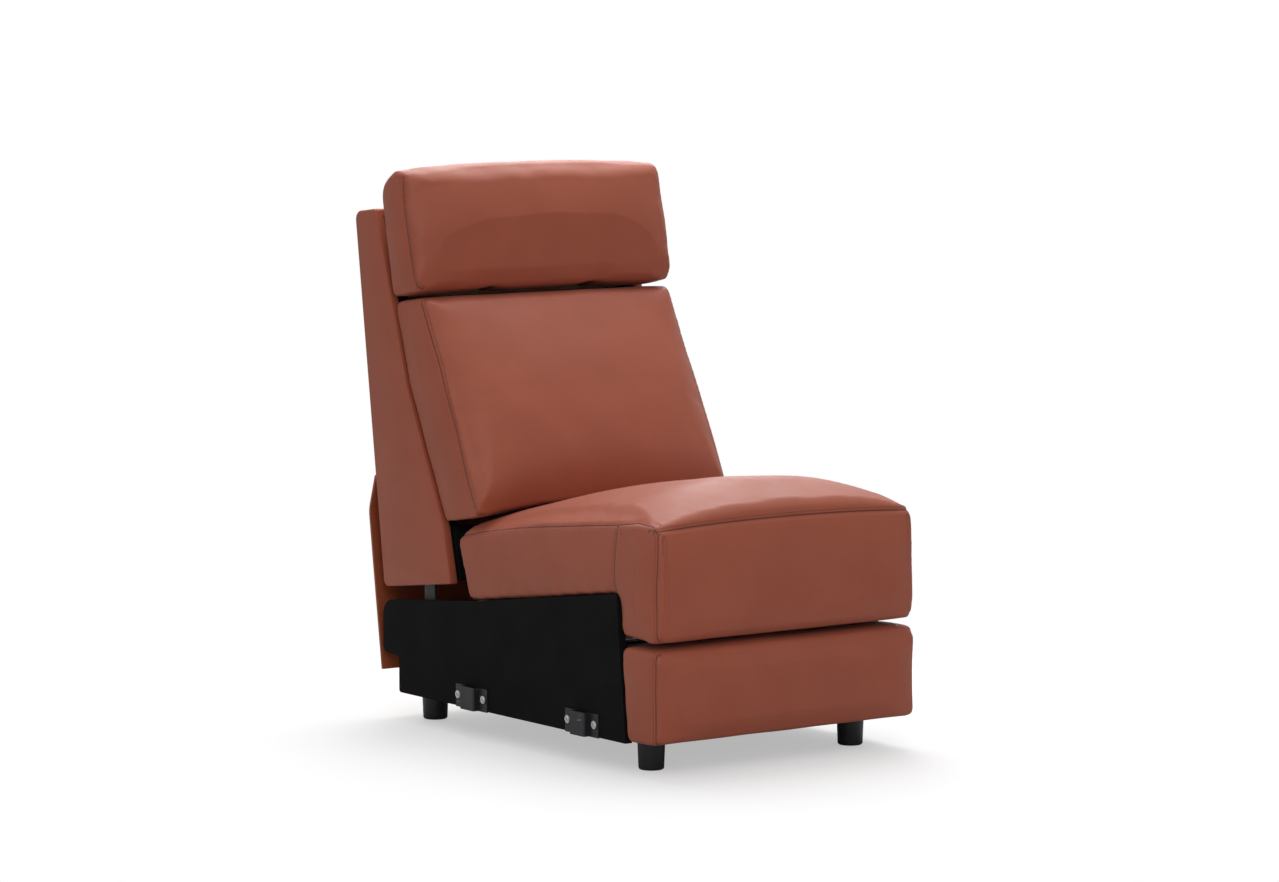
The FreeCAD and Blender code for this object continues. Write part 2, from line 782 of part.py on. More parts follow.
side_rails = plate(
    "seat_side_rails",
    seat_plate_inner - by.seat_rail_wall,
    seat_plate_inner,
    [
        (under_seat(rail_front, by.seat_rail_front), None),
        (under_seat(rail_rear, by.seat_rail_rear), None),
        (under_seat(rail_rear, size(0)), None),
        (under_seat(rail_front, size(0)), None),
    ],
)
mirror(side_rails)

cross_half = seat_plate_inner - by.seat_rail_wall


def seat_cross_rail(label, front, deep):
    rear = front + by.rail_wall
    corners = [
        (under_seat(front, deep), None),
        (under_seat(rear, deep), None),
        (under_seat(rear, by.strap_wall), None),
        (under_seat(front, by.strap_wall), None),
    ]
    return plate(label, -cross_half, cross_half, corners)


seat_cross_rail("seat_rail_front", rail_front, by.seat_rail_front)
seat_cross_rail("seat_rail_rear", rail_rear - by.rail_wall, by.seat_rail_rear)

strap_left = -1.5 * by.strap_pitch - by.strap_width / 2
straps = plate(
    "seat_webbing",
    strap_left,
    strap_left + by.strap_width,
    [
        (under_seat(rail_front, by.strap_wall), None),
        (under_seat(rail_rear, by.strap_wall), None),
        (under_seat(rail_rear, size(0)), None),
        (under_seat(rail_front, size(0)), None),
    ],
)
strap_row = straps.newObject("PartDesign::LinearPattern", "LinearPattern")
strap_row.Originals = [straps.Tip]
strap_row.Direction = (datum(straps, "X_Axis"), [""])
strap_row.Occurrences = 4
strap_row.Length = (3 * by.strap_pitch).value
strap_row.setExpression("Length", (3 * by.strap_pitch).text)
straps.Tip = strap_row

# Seat cushion and its front border

joint = at(by.border_seam)
crown = by.seat_crown
border_rear_low = (depth_on(toe, knee, by.border_low_rear) - by.panel_gap, by.border_low_rear)
cushion(
    "seat_border",
    half_width,
    [
        (point(by.border_round, by.border_low), (0, 1), (0, 0), None, 0),
        (border_rear_low, (0, 1), (0, 0), None, 0),
        ((brow[0] - by.panel_gap, brow[1]), (0, 0), (0, 0), None, 0),
        ((joint - by.soft_gap / 2, by.seat_shoulder + 1), (0, -1), (size(0), crown), None, 0),
        (point(24, by.seat_edge), (0, -1), (size(4), crown * 0.62), None, 0),
        (point(10, by.seat_edge - 6), (0.5, -1), (size(-4.5), crown * 0.33), None, 0),
        (point(0, by.seat_edge - 18), (1, -0.5), (0, 0), None, 0),
        (point(0, by.border_low + by.border_round), (1, 0), (0, 0), 7.0, 0),
    ],
)
seat_top_rear = point(by.seat_rear - 20, by.seat_rear_top + 8)
seat_top_front = (joint + by.soft_gap / 2, by.seat_shoulder + 1)
seat_middle = along(seat_top_rear, seat_top_front, 0.5)
cushion(
    "seat_cushion",
    half_width,
    [
        ((joint + by.soft_gap / 2, height_on(brow, dip, joint) + seat_under), (0, 0), (0, 0), None, 0),
        ((dip[0], dip[1] + seat_under), (0, 0.5), (0, 0), None, 0),
        (point(by.seat_rear - 4, by.seat_rear_top - 6), (-1, -0.5), (size(0), crown * 0.3), None, 0),
        (seat_top_rear, (-1, -1), (size(0), crown * 0.45), None, 0),
        ((seat_middle[0], seat_middle[1] + 8), (0, -1), (size(0), crown * 0.85), None, 0),
        (seat_top_front, (0, -1), (size(0), crown), None, 0),
    ],
)

# Back

shell = plate(
    "back_shell",
    -half_width,
    half_width,
    [
        (back_low_front, None),
        (back_low_rear, by.pad_heel),
        (back_top_rear, by.shell_round),
        (back_top_front, by.pad_heel / 2),
        (back_bend, None),
        (back_chin, None),
    ],
)
shell_inner = half_width - by.shell_wall
hollow = new_sketch(shell, "YZ_Plane", -shell_inner)
hollow_corners = [
    (back_rear(by.back_low_rear_height - 30, -by.shell_rear_wall), None),
    (back_rear(by.back_top - by.shell_wall, -by.shell_rear_wall), None),
    ((back_top_front[0] - 40, by.back_top - 0.7 * by.shell_wall), None),
    ((back_low_front[0] - 100, by.back_low_rear_height - 30), None),
]
outline(hollow, hollow_corners)
pocket(shell, hollow, 2 * shell_inner, True)

stile_outer = post_inner
stile_inner = stile_outer - by.rail_wall
stile_set = by.strap_wall + 1
stile_top = by.back_top - 1.4 * by.shell_wall
stile_foot = (back_low_front[0] + stile_set, back_low_front[1])
stile_chin = (back_chin[0] + stile_set, back_chin[1])
stiles = plate(
    "back_stiles",
    stile_inner,
    stile_outer,
    [
        (along(stile_foot, stile_chin, 0.05), None),
        (back_rear(by.back_low_rear_height + 10, -by.shell_rear_wall), None),
        (back_rear(stile_top, -by.shell_rear_wall), None),
        (back_front(stile_top, stile_set), None),
        ((back_bend[0] + stile_set, back_bend[1]), None),
        (stile_chin, None),
    ],
)
mirror(stiles)


def back_rail(label, depth, low, top):
    box(label, -stile_inner, stile_inner, at(depth), at(depth) + by.rail_wall, size(low), size(top))


arm_seat = by.head_low_rear + 22
upper_low = by.head_axis_height - by.back_rail_drop
upper_top = upper_low + by.back_rail_height
lower_low = by.back_low_front_height + by.back_rail_lift
back_rail("back_rail_upper", arm_seat, upper_low, upper_top)
back_rail("back_rail_top", by.back_top_front + 8, upper_top + by.back_rail_gap, stile_top)
back_rail("back_rail_lower", by.hinge_depth - 30, lower_low, lower_low + by.back_rail_height)


def back_strap(body, first, last, low, top):
    """Band on the front edges of the stiles between two shares of a line."""
    sketch = new_sketch(body, "YZ_Plane", -stile_outer)
    start = along(first, last, low)
    end = along(first, last, top)
    corners = [
        ((start[0] + 1, start[1]), None),
        ((start[0] + stile_set, start[1]), None),
        ((end[0] + stile_set, end[1]), None),
        ((end[0] + 1, end[1]), None),
    ]
    outline(sketch, corners)
    pad(body, sketch, 2 * stile_outer)


webbing = new_body("back_webbing")
back_strap(webbing, back_chin, back_bend, 0.12, 0.32)
back_strap(webbing, back_chin, back_bend, 0.52, 0.72)
back_strap(webbing, back_chin, back_bend, 0.82, 0.98)
back_strap(webbing, back_bend, back_top_front, 0.16, 0.34)

lower_cloth = new_body("back_lower_cloth")
back_strap(lower_cloth, back_low_front, back_chin, 0.06, 0.98)

posts = plate(
    "back_posts",
    post_inner,
    post_outer,
    [
        ((hinge[0] - by.post_width / 2, hinge[1] - by.hinge_radius), by.hinge_radius - 1),
        ((hinge[0] + by.post_width / 2, hinge[1] - by.hinge_radius), by.hinge_radius - 1),
        ((hinge[0] + by.post_width / 2, hinge[1] + by.post_width * 6), None),
        ((hinge[0] - by.post_width / 2, hinge[1] + by.post_width * 6), None),
    ],
)
hole(posts, post_inner, post_outer, hinge, by.pin_radius + by.running)
mirror(posts)

lumbar_rear = -by.soft_gap
lumbar_top_front = point(by.lumbar_top - 2, by.lumbar_top_height - 10)
cushion(
    "lumbar_cushion",
    half_width,
    [
        (point(by.lumbar_low + 14, by.lumbar_low_height - 8), (0, 1), (size(-6), size(22)), None, 0),
        ((back_chin[0] + lumbar_rear, back_chin[1] + 1), (-1, 1), (size(0), size(19)), None, 0),
        ((back_bend[0] + lumbar_rear, back_bend[1]), (-1, 0), (0, 0), None, 0),
        (back_front(by.lumbar_rear_top_height, lumbar_rear), (-1, -1), (0, 0), None, 0),
        (point(by.lumbar_top + 17, by.lumbar_top_height + 5), (0, -1), (0, 0), 4.0, 0),
        (lumbar_top_front, (1, 0), (size(-3), size(0)), 3.0, by.lumbar_crown),
        (point(by.lumbar_low - 2, by.lumbar_low_height + 12), (1, 0), (size(-8), size(20)), 4.0, 0),
    ],
)


def head_rear(height, offset):
    """Point at a height beside the rear line of the headrest."""
    low = point(by.head_low_rear, by.head_low_rear_height)
    top = point(by.head_top_rear, by.head_top_rear_height)
    return depth_on(low, top, height) + offset, size(height)


# Headrest hinge arms and headrest

arm_inner = by.head_arm - by.steel_wall
arm_hub = by.link_radius
arms = plate(
    "headrest_arms",
    arm_inner,
    by.head_arm,
    [
        ((head_axis[0] - arm_hub, head_axis[1] - arm_hub), by.link_radius - 1),
        ((at(arm_seat), head_axis[1] - 2.3 * arm_hub), None),
        ((at(arm_seat), head_axis[1] + 0.7 * arm_hub), None),
        ((head_axis[0] - arm_hub, head_axis[1] + arm_hub), by.link_radius - 1),
    ],
)
hole(arms, arm_inner, by.head_arm, head_axis, by.pin_radius + by.running)
mirror(arms)

board_low_height = by.head_axis_height + 26
board_top_height = by.head_top_rear_height - 20
board_half = by.head_width / 2 - 55
head_board = plate(
    "headrest_board",
    -board_half,
    board_half,
    [
        (head_rear(board_low_height, -by.head_board), None),
        (head_rear(board_low_height, size(0)), None),
        (head_rear(board_top_height, size(0)), None),
        (head_rear(board_top_height, -by.head_board), None),
    ],
)
ears = plate(
    "headrest_ears",
    by.head_arm + by.layer_gap,
    by.head_arm + by.layer_gap + by.steel_wall,
    [
        ((head_axis[0] - arm_hub, head_axis[1] - arm_hub), by.link_radius - 1),
        ((head_axis[0] + arm_hub, head_axis[1] - arm_hub), by.link_radius - 1),
        (head_rear(board_low_height + 10, -by.head_board), None),
        (head_rear(board_low_height + 65, -by.head_board), None),
        ((head_axis[0] - arm_hub, head_axis[1] + 1.6 * arm_hub), by.link_radius - 1),
    ],
)
rivet(ears, by.head_arm + by.layer_gap, arm_inner, head_axis, by.pin_radius)
mirror(ears)

head_rise = by.head_crown
head_brow = point(by.head_top_front + 5, by.head_top - 8)
head_top_edge = point(by.head_top_rear - 12, by.head_top_rear_height + 16)
head_front_edge = point(by.head_top_front, by.head_top_front_height)
head_front_low = (head_axis[0] - by.head_roll + 1, head_axis[1] - 8)
head_belly = along(head_front_edge, head_front_low, 0.5)
headrest = cushion(
    "headrest_cushion",
    by.head_width / 2,
    [
        ((head_axis[0] - 14, head_axis[1] - by.head_roll + 3), (0, 1), (0, 0), None, 0),
        (point(by.head_low_rear, by.head_low_rear_height), (-1, 1), (0, 0), None, 0),
        (head_rear(by.head_top_rear_height - 4, size(0)), (-1, 0), (0, 0), None, 0),
        (head_top_edge, (-1, -1), (size(0), head_rise * 0.6), None, 0),
        (point(by.head_top_front + 43, by.head_top), (0, -1), (size(0), head_rise), None, 0),
        (point(by.head_top_front + 15, by.head_top - 3), (0, -1), (size(0), head_rise), None, 0),
        (head_brow, (0.5, -1), (-head_rise * 0.3, head_rise * 0.8), None, 0),
        (head_front_edge, (1, -1), (-head_rise * 0.5, head_rise * 0.5), None, 0),
        ((head_belly[0] - 5, head_belly[1]), (1, 0), (-head_rise * 0.8, head_rise * 0.4), None, 0),
        (head_front_low, (1, 0), (0, 0), 2.6, 0),
    ],
)
recess = new_sketch(headrest, "YZ_Plane", -board_half - by.soft_gap)
clear = by.soft_gap
recess_corners = [
    (head_rear(board_low_height - clear, -by.head_board - clear), None),
    (head_rear(board_low_height - clear, size(20)), None),
    (head_rear(board_top_height + clear, size(20)), None),
    (head_rear(board_top_height + clear, -by.head_board - clear), None),
]
outline(recess, recess_corners)
pocket(headrest, recess, 2 * (board_half + by.soft_gap), True)
for side in (-1, 1):
    slot_start = side * by.head_arm - 9
    slot_sketch = new_sketch(headrest, "YZ_Plane", slot_start)
    slot_outline = [
        ((head_axis[0] - arm_hub - 4, by.head_low_rear_height - 10), None),
        ((at(by.head_top_rear), by.head_low_rear_height - 10), None),
        (head_rear(board_low_height + 68, size(20)), None),
        (head_rear(board_low_height + 68, -by.head_board - 4), None),
        ((head_axis[0] - arm_hub - 4, head_axis[1] + 2 * arm_hub), None),
    ]
    outline(slot_sketch, slot_outline)
    pocket(headrest, slot_sketch, size(18), True)

# Rear flap

flap_top = back_rear(by.flap_top, by.soft_gap)
flap = plate(
    "rear_flap",
    -half_width + by.flap_inset,
    half_width - by.flap_inset,
    [
        (point(by.flap_hem - by.flap_wall, by.flap_low), None),
        (point(by.flap_hem, by.flap_low), None),
        (point(by.flap_waist, by.flap_waist_height), size(160)),
        (point(by.flap_belly, by.flap_belly_height), size(55)),
        ((flap_top[0] + by.flap_wall, flap_top[1] + 2), None),
        (flap_top, None),
        (point(by.flap_belly - by.flap_wall, by.flap_belly_height), size(50)),
        (point(by.flap_waist - by.flap_wall, by.flap_waist_height), size(165)),
    ],
)

# Lazy tong

def down_bar(label, start):
    return bar(label, outer_bar_inner, by.tong_length, by.tong_radius, start, 180 + by.tong_angle)


def up_bar(label, start, length):
    return bar(label, inner_bar_inner, length, by.tong_radius, start, 180 - by.tong_angle)


def tong_rivet(body, reach):
    rivet(body, outer_bar_inner, inner_bar_inner, (reach, size(0)), by.tong_pin)


def tong_hole(body, reach, room):
    hole(body, inner_bar_inner, inner_bar_outer, (reach, size(0)), by.tong_pin + room)


tong_half = by.tong_length / 2
start_of_bar = size(0)

carrier = down_bar("tong_bars_carrier", tong_fixed)
hole(carrier, outer_bar_inner, outer_bar_outer, (start_of_bar, size(0)), by.tong_pin + by.running)
tong_rivet(carrier, tong_half)
tong_rivet(carrier, by.tong_length)
mirror(carrier)

slider = up_bar("tong_bars_slider", tong_slide, by.tong_length)
rivet(slider, inner_bar_outer, seat_plate_outer, (start_of_bar, size(0)), by.tong_pin)
tong_hole(slider, tong_half, by.running)
tong_hole(slider, by.tong_length, by.running)
mirror(slider)

riser = up_bar("tong_bars_riser", tong_first, by.tong_length)
tong_hole(riser, start_of_bar, by.running)
tong_hole(riser, tong_half, by.loose)
tong_hole(riser, by.tong_length, by.running)
mirror(riser)

faller = down_bar("tong_bars_faller", tong_head)
tong_rivet(faller, start_of_bar)
tong_rivet(faller, tong_half)
tong_rivet(faller, by.tong_length)
mirror(faller)

leader = down_bar("tong_bars_leader", tong_lead)
tong_rivet(leader, start_of_bar)
tong_rivet(leader, tong_half)
mirror(leader)

stay = up_bar("tong_bars_stay", tong_second, tong_half)
tong_hole(stay, start_of_bar, by.running)
tong_hole(stay, tong_half, by.loose)
mirror(stay)

cross_tube("footrest_tube", outer_bar_inner, tong_last)

# Footrest

pad_rear_low = (depth_on(toe, knee, by.pad_low) - by.panel_gap, by.pad_low)
pad_rear_top = (depth_on(toe, knee, by.pad_top_rear) - by.panel_gap, by.pad_top_rear)
board_half_width = half_width - by.pad_board_inset
board_low_line = (pad_rear_low[0] - by.pad_board, pad_rear_low[1])
board_top_line = (pad_rear_top[0] - by.pad_board, pad_rear_top[1])

footrest_pad = cushion(
    "footrest_pad",
    half_width,
    [
        (point(by.pad_heel, by.pad_low), (0, 1), (0, 0), None, 0),
        (pad_rear_low, (-0.6, 1), (0, 0), None, 0),
        (pad_rear_top, (-0.6, -1), (0, 0), None, 0),
        (point(by.pad_round, by.pad_top - 1), (0, -1), (0, 0), 7.0, 0),
        (point(0, by.pad_top - by.pad_round), (1, 0), (0, 0), None, 0),
        (point(0, by.pad_low + by.pad_heel), (1, 0), (0, 0), 3.5, 0),
    ],
)
board_cut = new_sketch(footrest_pad, "YZ_Plane", -board_half_width - by.soft_gap)
cut_low = along(pad_rear_low, pad_rear_top, 0.06)
cut_top = along(pad_rear_low, pad_rear_top, 0.94)
cut_corners = [
    ((cut_low[0] - by.pad_board - clear, cut_low[1] - clear), None),
    ((cut_low[0] + 15, cut_low[1] - clear), None),
    ((cut_top[0] + 15, cut_top[1] + clear), None),
    ((cut_top[0] - by.pad_board - clear, cut_top[1] + clear), None),
]
outline(board_cut, cut_corners)
pocket(footrest_pad, board_cut, 2 * (board_half_width + by.soft_gap), True)

plate(
    "footrest_board",
    -board_half_width,
    board_half_width,
    [
        ((cut_low[0] - by.pad_board, cut_low[1]), None),
        (cut_low, None),
        (cut_top, None),
        ((cut_top[0] - by.pad_board, cut_top[1]), None),
    ],
)
bracket_low = tong_fixed[1] - 60
bracket_top = tong_fixed[1] - 4


def bar_front(height):
    """Depth of the front edge of the leading bars at a height."""
    line = depth_on(tong_last, tong_lead, height)
    return line - by.tong_radius / sine(by.tong_angle)


brackets = plate(
    "footrest_brackets",
    outer_bar_inner,
    outer_bar_outer,
    [
        ((depth_on(cut_low, cut_top, bracket_low), bracket_low), None),
        ((bar_front(bracket_low), bracket_low), None),
        ((bar_front(bracket_top), bracket_top), None),
        ((depth_on(cut_low, cut_top, bracket_top), bracket_top), None),
    ],
)
mirror(brackets)

# Check and write

doc.recompute()
for item in doc.Objects:
    if {"Invalid", "Error"} & set(item.State):
        raise RuntimeError("%s is in state %s" % (item.Label, item.State))

os.makedirs("parts", exist_ok=True)
for item in doc.Objects:
    if item.TypeId != "PartDesign::Body":
        continue
    if item.Shape.isNull() or not item.Shape.isValid():
        raise RuntimeError("%s has no valid shape" % item.Label)
    item.Shape.exportStep("parts/%s.step" % item.Label)
    print(item.Label, round(item.Shape.Volume), len(item.Shape.Solids))
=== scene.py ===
"""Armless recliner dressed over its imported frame: cushions, cloth, steel parts and floor.

Everything is in metres. The front faces -Y, up is +Z, and the floor is at Z = 0.
"""
import math

import bmesh
import bpy
import numpy as np
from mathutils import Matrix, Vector


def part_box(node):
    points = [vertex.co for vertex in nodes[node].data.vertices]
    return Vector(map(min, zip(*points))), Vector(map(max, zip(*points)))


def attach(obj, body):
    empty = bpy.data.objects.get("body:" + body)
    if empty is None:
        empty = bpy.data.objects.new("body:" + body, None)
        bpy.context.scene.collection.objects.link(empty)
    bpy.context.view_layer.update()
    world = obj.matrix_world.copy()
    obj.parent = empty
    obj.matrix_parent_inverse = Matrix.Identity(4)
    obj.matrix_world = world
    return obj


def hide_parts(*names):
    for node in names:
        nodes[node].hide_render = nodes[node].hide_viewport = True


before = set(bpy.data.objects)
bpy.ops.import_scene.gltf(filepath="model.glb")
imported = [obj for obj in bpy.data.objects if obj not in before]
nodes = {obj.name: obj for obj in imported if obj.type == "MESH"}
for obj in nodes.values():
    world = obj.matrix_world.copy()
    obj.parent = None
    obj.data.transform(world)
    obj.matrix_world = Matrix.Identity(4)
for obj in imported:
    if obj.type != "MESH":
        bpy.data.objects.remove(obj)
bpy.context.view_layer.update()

# Shared sizes
half_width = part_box("back_shell")[1].x
headrest_half_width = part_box("headrest_cushion")[1].x
border_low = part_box("seat_border")[0]
seat_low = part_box("seat_cushion")[0]
front = border_low.y


def at(depth):
    """Y of a depth behind the chair's front face."""
    return front + depth


# Selection and modelling helpers

def deselect():
    for item in bpy.context.selected_objects:
        item.select_set(False)


def activate(piece):
    deselect()
    piece.select_set(True)
    bpy.context.view_layer.objects.active = piece


def keep_place(piece):
    """Put the piece's place and turn into its mesh, with the object at the origin."""
    activate(piece)
    bpy.ops.object.transform_apply(location=True, rotation=True, scale=True)


def apply_modifier(piece, kind, **values):
    activate(piece)
    modifier = piece.modifiers.new(kind.title(), kind)
    for name, value in values.items():
        setattr(modifier, name, value)
    bpy.ops.object.modifier_apply(modifier=modifier.name)


def select_faces(piece, wanted):
    """Enter edit mode with only the faces selected whose centre and normal pass the test."""
    activate(piece)
    bpy.ops.object.mode_set(mode="EDIT")
    bpy.ops.mesh.select_mode(type="FACE")
    mesh = bmesh.from_edit_mesh(piece.data)
    for face in mesh.faces:
        face.select_set(wanted(face.calc_center_median(), face.normal))
    mesh.select_flush_mode()
    bmesh.update_edit_mesh(piece.data)


def leave_edit():
    bpy.ops.object.mode_set(mode="OBJECT")


def copy_of(node, name):
    """Merged copy of a CAD node's mesh as a new object."""
    piece = bpy.data.objects.new(name, nodes[node].data.copy())
    bpy.context.scene.collection.objects.link(piece)
    piece.data.materials.clear()
    activate(piece)
    bpy.ops.object.mode_set(mode="EDIT")
    bpy.ops.mesh.select_all(action="SELECT")
    bpy.ops.mesh.remove_doubles(threshold=0.00002)
    bpy.ops.mesh.normals_make_consistent(inside=False)
    leave_edit()
    return piece


def finish_piece(piece, body, material, replaced):
    """Give the piece its material and body, and hide the CAD nodes that it stands for."""
    piece.data.materials.clear()
    piece.data.materials.append(material)
    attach(piece, body)
    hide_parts(*replaced)


# Shader node groups

def node_group(name, inputs, outputs):
    group = bpy.data.node_groups.new(name, "ShaderNodeTree")
    for label, kind, value in inputs:
        socket = group.interface.new_socket(name=label, in_out="INPUT", socket_type=kind)
        if value is not None:
            socket.default_value = value
    for label, kind in outputs:
        group.interface.new_socket(name=label, in_out="OUTPUT", socket_type=kind)
    start = group.nodes.new("NodeGroupInput")
    end = group.nodes.new("NodeGroupOutput")
    return group, start, end


def shader_node(tree, kind, inputs=None, **settings):
    made = tree.nodes.new(kind)
    for name, value in settings.items():
        setattr(made, name, value)
    for name, value in (inputs or {}).items():
        if isinstance(value, bpy.types.NodeSocket):
            tree.links.new(value, made.inputs[name])
        else:
            made.inputs[name].default_value = value
    return made


def maths(tree, operation, first, second=None, third=None):
    made = tree.nodes.new("ShaderNodeMath")
    made.operation = operation
    for index, value in enumerate((first, second, third)):
        if value is None:
            continue
        if isinstance(value, bpy.types.NodeSocket):
            tree.links.new(value, made.inputs[index])
        else:
            made.inputs[index].default_value = value
    return made.outputs[0]


def fade(tree, value, low, high, start=0.0, end=1.0):
    made = shader_node(tree, "ShaderNodeMapRange", interpolation_type="SMOOTHSTEP")
    tree.links.new(value, made.inputs["Value"])
    for name, number in (("From Min", low), ("From Max", high), ("To Min", start), ("To Max", end)):
        made.inputs[name].default_value = number
    return made.outputs["Result"]


def noise(tree, place, scale, detail, **settings):
    """Noise factor over a place, as a socket."""
    made = shader_node(
        tree, "ShaderNodeTexNoise", {"Vector": place, "Scale": scale, "Detail": detail})
    for name, value in settings.items():
        made.inputs[name.title()].default_value = value
    return made.outputs["Fac"]


def grain_group():
    """Leather grain: fine pebbles, open pores and slow clouding."""
    inputs = [("Place", "NodeSocketVector", None), ("Pebble", "NodeSocketFloat", 900.0)]
    outputs = [(label, "NodeSocketFloat") for label in ("Height", "Cloud", "Pores")]
    group, start, end = node_group("leather grain", inputs, outputs)
    place = start.outputs["Place"]
    warp = shader_node(
        group, "ShaderNodeTexNoise", {"Vector": place, "Scale": 420.0, "Detail": 1.0})
    reach = (0.0012, 0.0012, 0.0012)
    shift = shader_node(group, "ShaderNodeVectorMath", {1: reach}, operation="MULTIPLY")
    group.links.new(warp.outputs["Color"], shift.inputs[0])
    moved = shader_node(group, "ShaderNodeVectorMath", operation="ADD")
    group.links.new(place, moved.inputs[0])
    group.links.new(shift.outputs[0], moved.inputs[1])
    pebbles = shader_node(
        group, "ShaderNodeTexVoronoi",
        {"Vector": moved.outputs[0], "Scale": start.outputs["Pebble"]}, feature="DISTANCE_TO_EDGE")
    edge = pebbles.outputs["Distance"]
    raised = fade(group, edge, 0.0, 0.28)
    height = maths(group, "MULTIPLY_ADD", noise(group, place, 2600.0, 2.0), 0.25, raised)
    group.links.new(height, end.inputs["Height"])
    group.links.new(noise(group, place, 9.0, 4.0), end.inputs["Cloud"])
    group.links.new(fade(group, edge, 0.0, 0.1, 1.0, 0.0), end.inputs["Pores"])
    return group


def seam_group():
    """Sewn seam from a signed gap and a length along it, in metres: groove and one stitch row."""
    stitch_row = 0.0055
    stitch_pitch = 0.0046
    inputs = [("Gap", "NodeSocketFloat", 1.0), ("Run", "NodeSocketFloat", 0.0)]
    outputs = [(label, "NodeSocketFloat") for label in ("Height", "Shadow", "Thread")]
    group, start, end = node_group("sewn seam", inputs, outputs)
    gap = start.outputs["Gap"]
    away = maths(group, "ABSOLUTE", gap)
    groove = fade(group, away, 0.0003, 0.0017, 1.0, 0.0)
    from_row = maths(group, "ABSOLUTE", maths(group, "SUBTRACT", gap, stitch_row))
    stitch_line = fade(group, from_row, 0.0003, 0.0007, 1.0, 0.0)
    step = maths(group, "FRACT", maths(group, "MULTIPLY", start.outputs["Run"], 1.0 / stitch_pitch))
    from_middle = maths(group, "ABSOLUTE", maths(group, "SUBTRACT", step, 0.5))
    thread = maths(group, "MULTIPLY", stitch_line, fade(group, from_middle, 0.3, 0.4, 1.0, 0.0))
    dimple = maths(group, "MULTIPLY", fade(group, away, 0.003, 0.009, 1.0, 0.0), 0.25)
    low = maths(group, "ADD", groove, dimple)
    height = maths(group, "SUBTRACT", maths(group, "MULTIPLY", thread, 0.35), low)
    group.links.new(height, end.inputs["Height"])
    group.links.new(groove, end.inputs["Shadow"])
    group.links.new(thread, end.inputs["Thread"])
    return group


def wear_group():
    """Small scuffs and slow blotches of dirt or polish."""
    inputs = [("Place", "NodeSocketVector", None), ("Amount", "NodeSocketFloat", 0.5)]
    outputs = [(label, "NodeSocketFloat") for label in ("Rub", "Blotch")]
    group, start, end = node_group("wear", inputs, outputs)
    place = start.outputs["Place"]
    stretch = shader_node(
        group, "ShaderNodeMapping",
        {"Vector": place, "Rotation": (0.4, 0.3, 0.2), "Scale": (1.0, 0.25, 1.6)})
    scuff = fade(group, noise(group, stretch.outputs[0], 130.0, 6.0), 0.66, 0.74)
    group.links.new(maths(group, "MULTIPLY", scuff, start.outputs["Amount"]), end.inputs["Rub"])
    group.links.new(noise(group, place, 14.0, 5.0), end.inputs["Blotch"])
    return group


leather_grain = grain_group()
sewn_seam = seam_group()
wear_marks = wear_group()


def new_material(name):
    material = bpy.data.materials.new(name)
    material.use_nodes = True
    tree = material.node_tree
    shader = tree.nodes["Principled BSDF"]
    place = tree.nodes.new("ShaderNodeTexCoord").outputs["Object"]
    return material, tree, shader, place


def use_group(tree, group, **inputs):
    made = tree.nodes.new("ShaderNodeGroup")
    made.node_tree = group
    for name, value in inputs.items():
        if isinstance(value, bpy.types.NodeSocket):
            tree.links.new(value, made.inputs[name])
        else:
            made.inputs[name].default_value = value
    return made


def colour_ramp(tree, value, stops):
    ramp = tree.nodes.new("ShaderNodeValToRGB")
    elements = ramp.color_ramp.elements
    while len(elements) < len(stops):
        elements.new(0.5)
    for element, (place, colour) in zip(elements, stops):
        element.position = place
        element.color = (*colour, 1.0)
    tree.links.new(value, ramp.inputs["Fac"])
    return ramp.outputs["Color"]


def mixed(tree, share, first, second):
    """Two colours, each a socket or three numbers, mixed by the share that a socket gives."""
    made = tree.nodes.new("ShaderNodeMix")
    made.data_type = "RGBA"
    tree.links.new(share, made.inputs[0])
    for socket, value in ((made.inputs[6], first), (made.inputs[7], second)):
        if isinstance(value, bpy.types.NodeSocket):
            tree.links.new(value, socket)
        else:
            socket.default_value = (*value, 1.0)
    return made.outputs[2]


def bumped(tree, shader, height, distance, strength, previous=None):
    """Bump on the shader from a height, over an earlier bump where one is given."""
    bump = shader_node(
        tree, "ShaderNodeBump", {"Distance": distance, "Strength": strength, "Height": height})
    if previous is not None:
        tree.links.new(previous, bump.inputs["Normal"])
    tree.links.new(bump.outputs["Normal"], shader.inputs["Normal"])
    return bump.outputs["Normal"]


def feed(tree, shader, colour, roughness):
    tree.links.new(colour, shader.inputs["Base Color"])
    tree.links.new(roughness, shader.inputs["Roughness"])


BRICK = (0.350, 0.076, 0.034)
BRICK_DEEP = (0.322, 0.068, 0.030)
BRICK_DARK = (0.070, 0.018, 0.011)
BRICK_SCUFF = (0.42, 0.13, 0.080)
THREAD = (0.13, 0.030, 0.018)


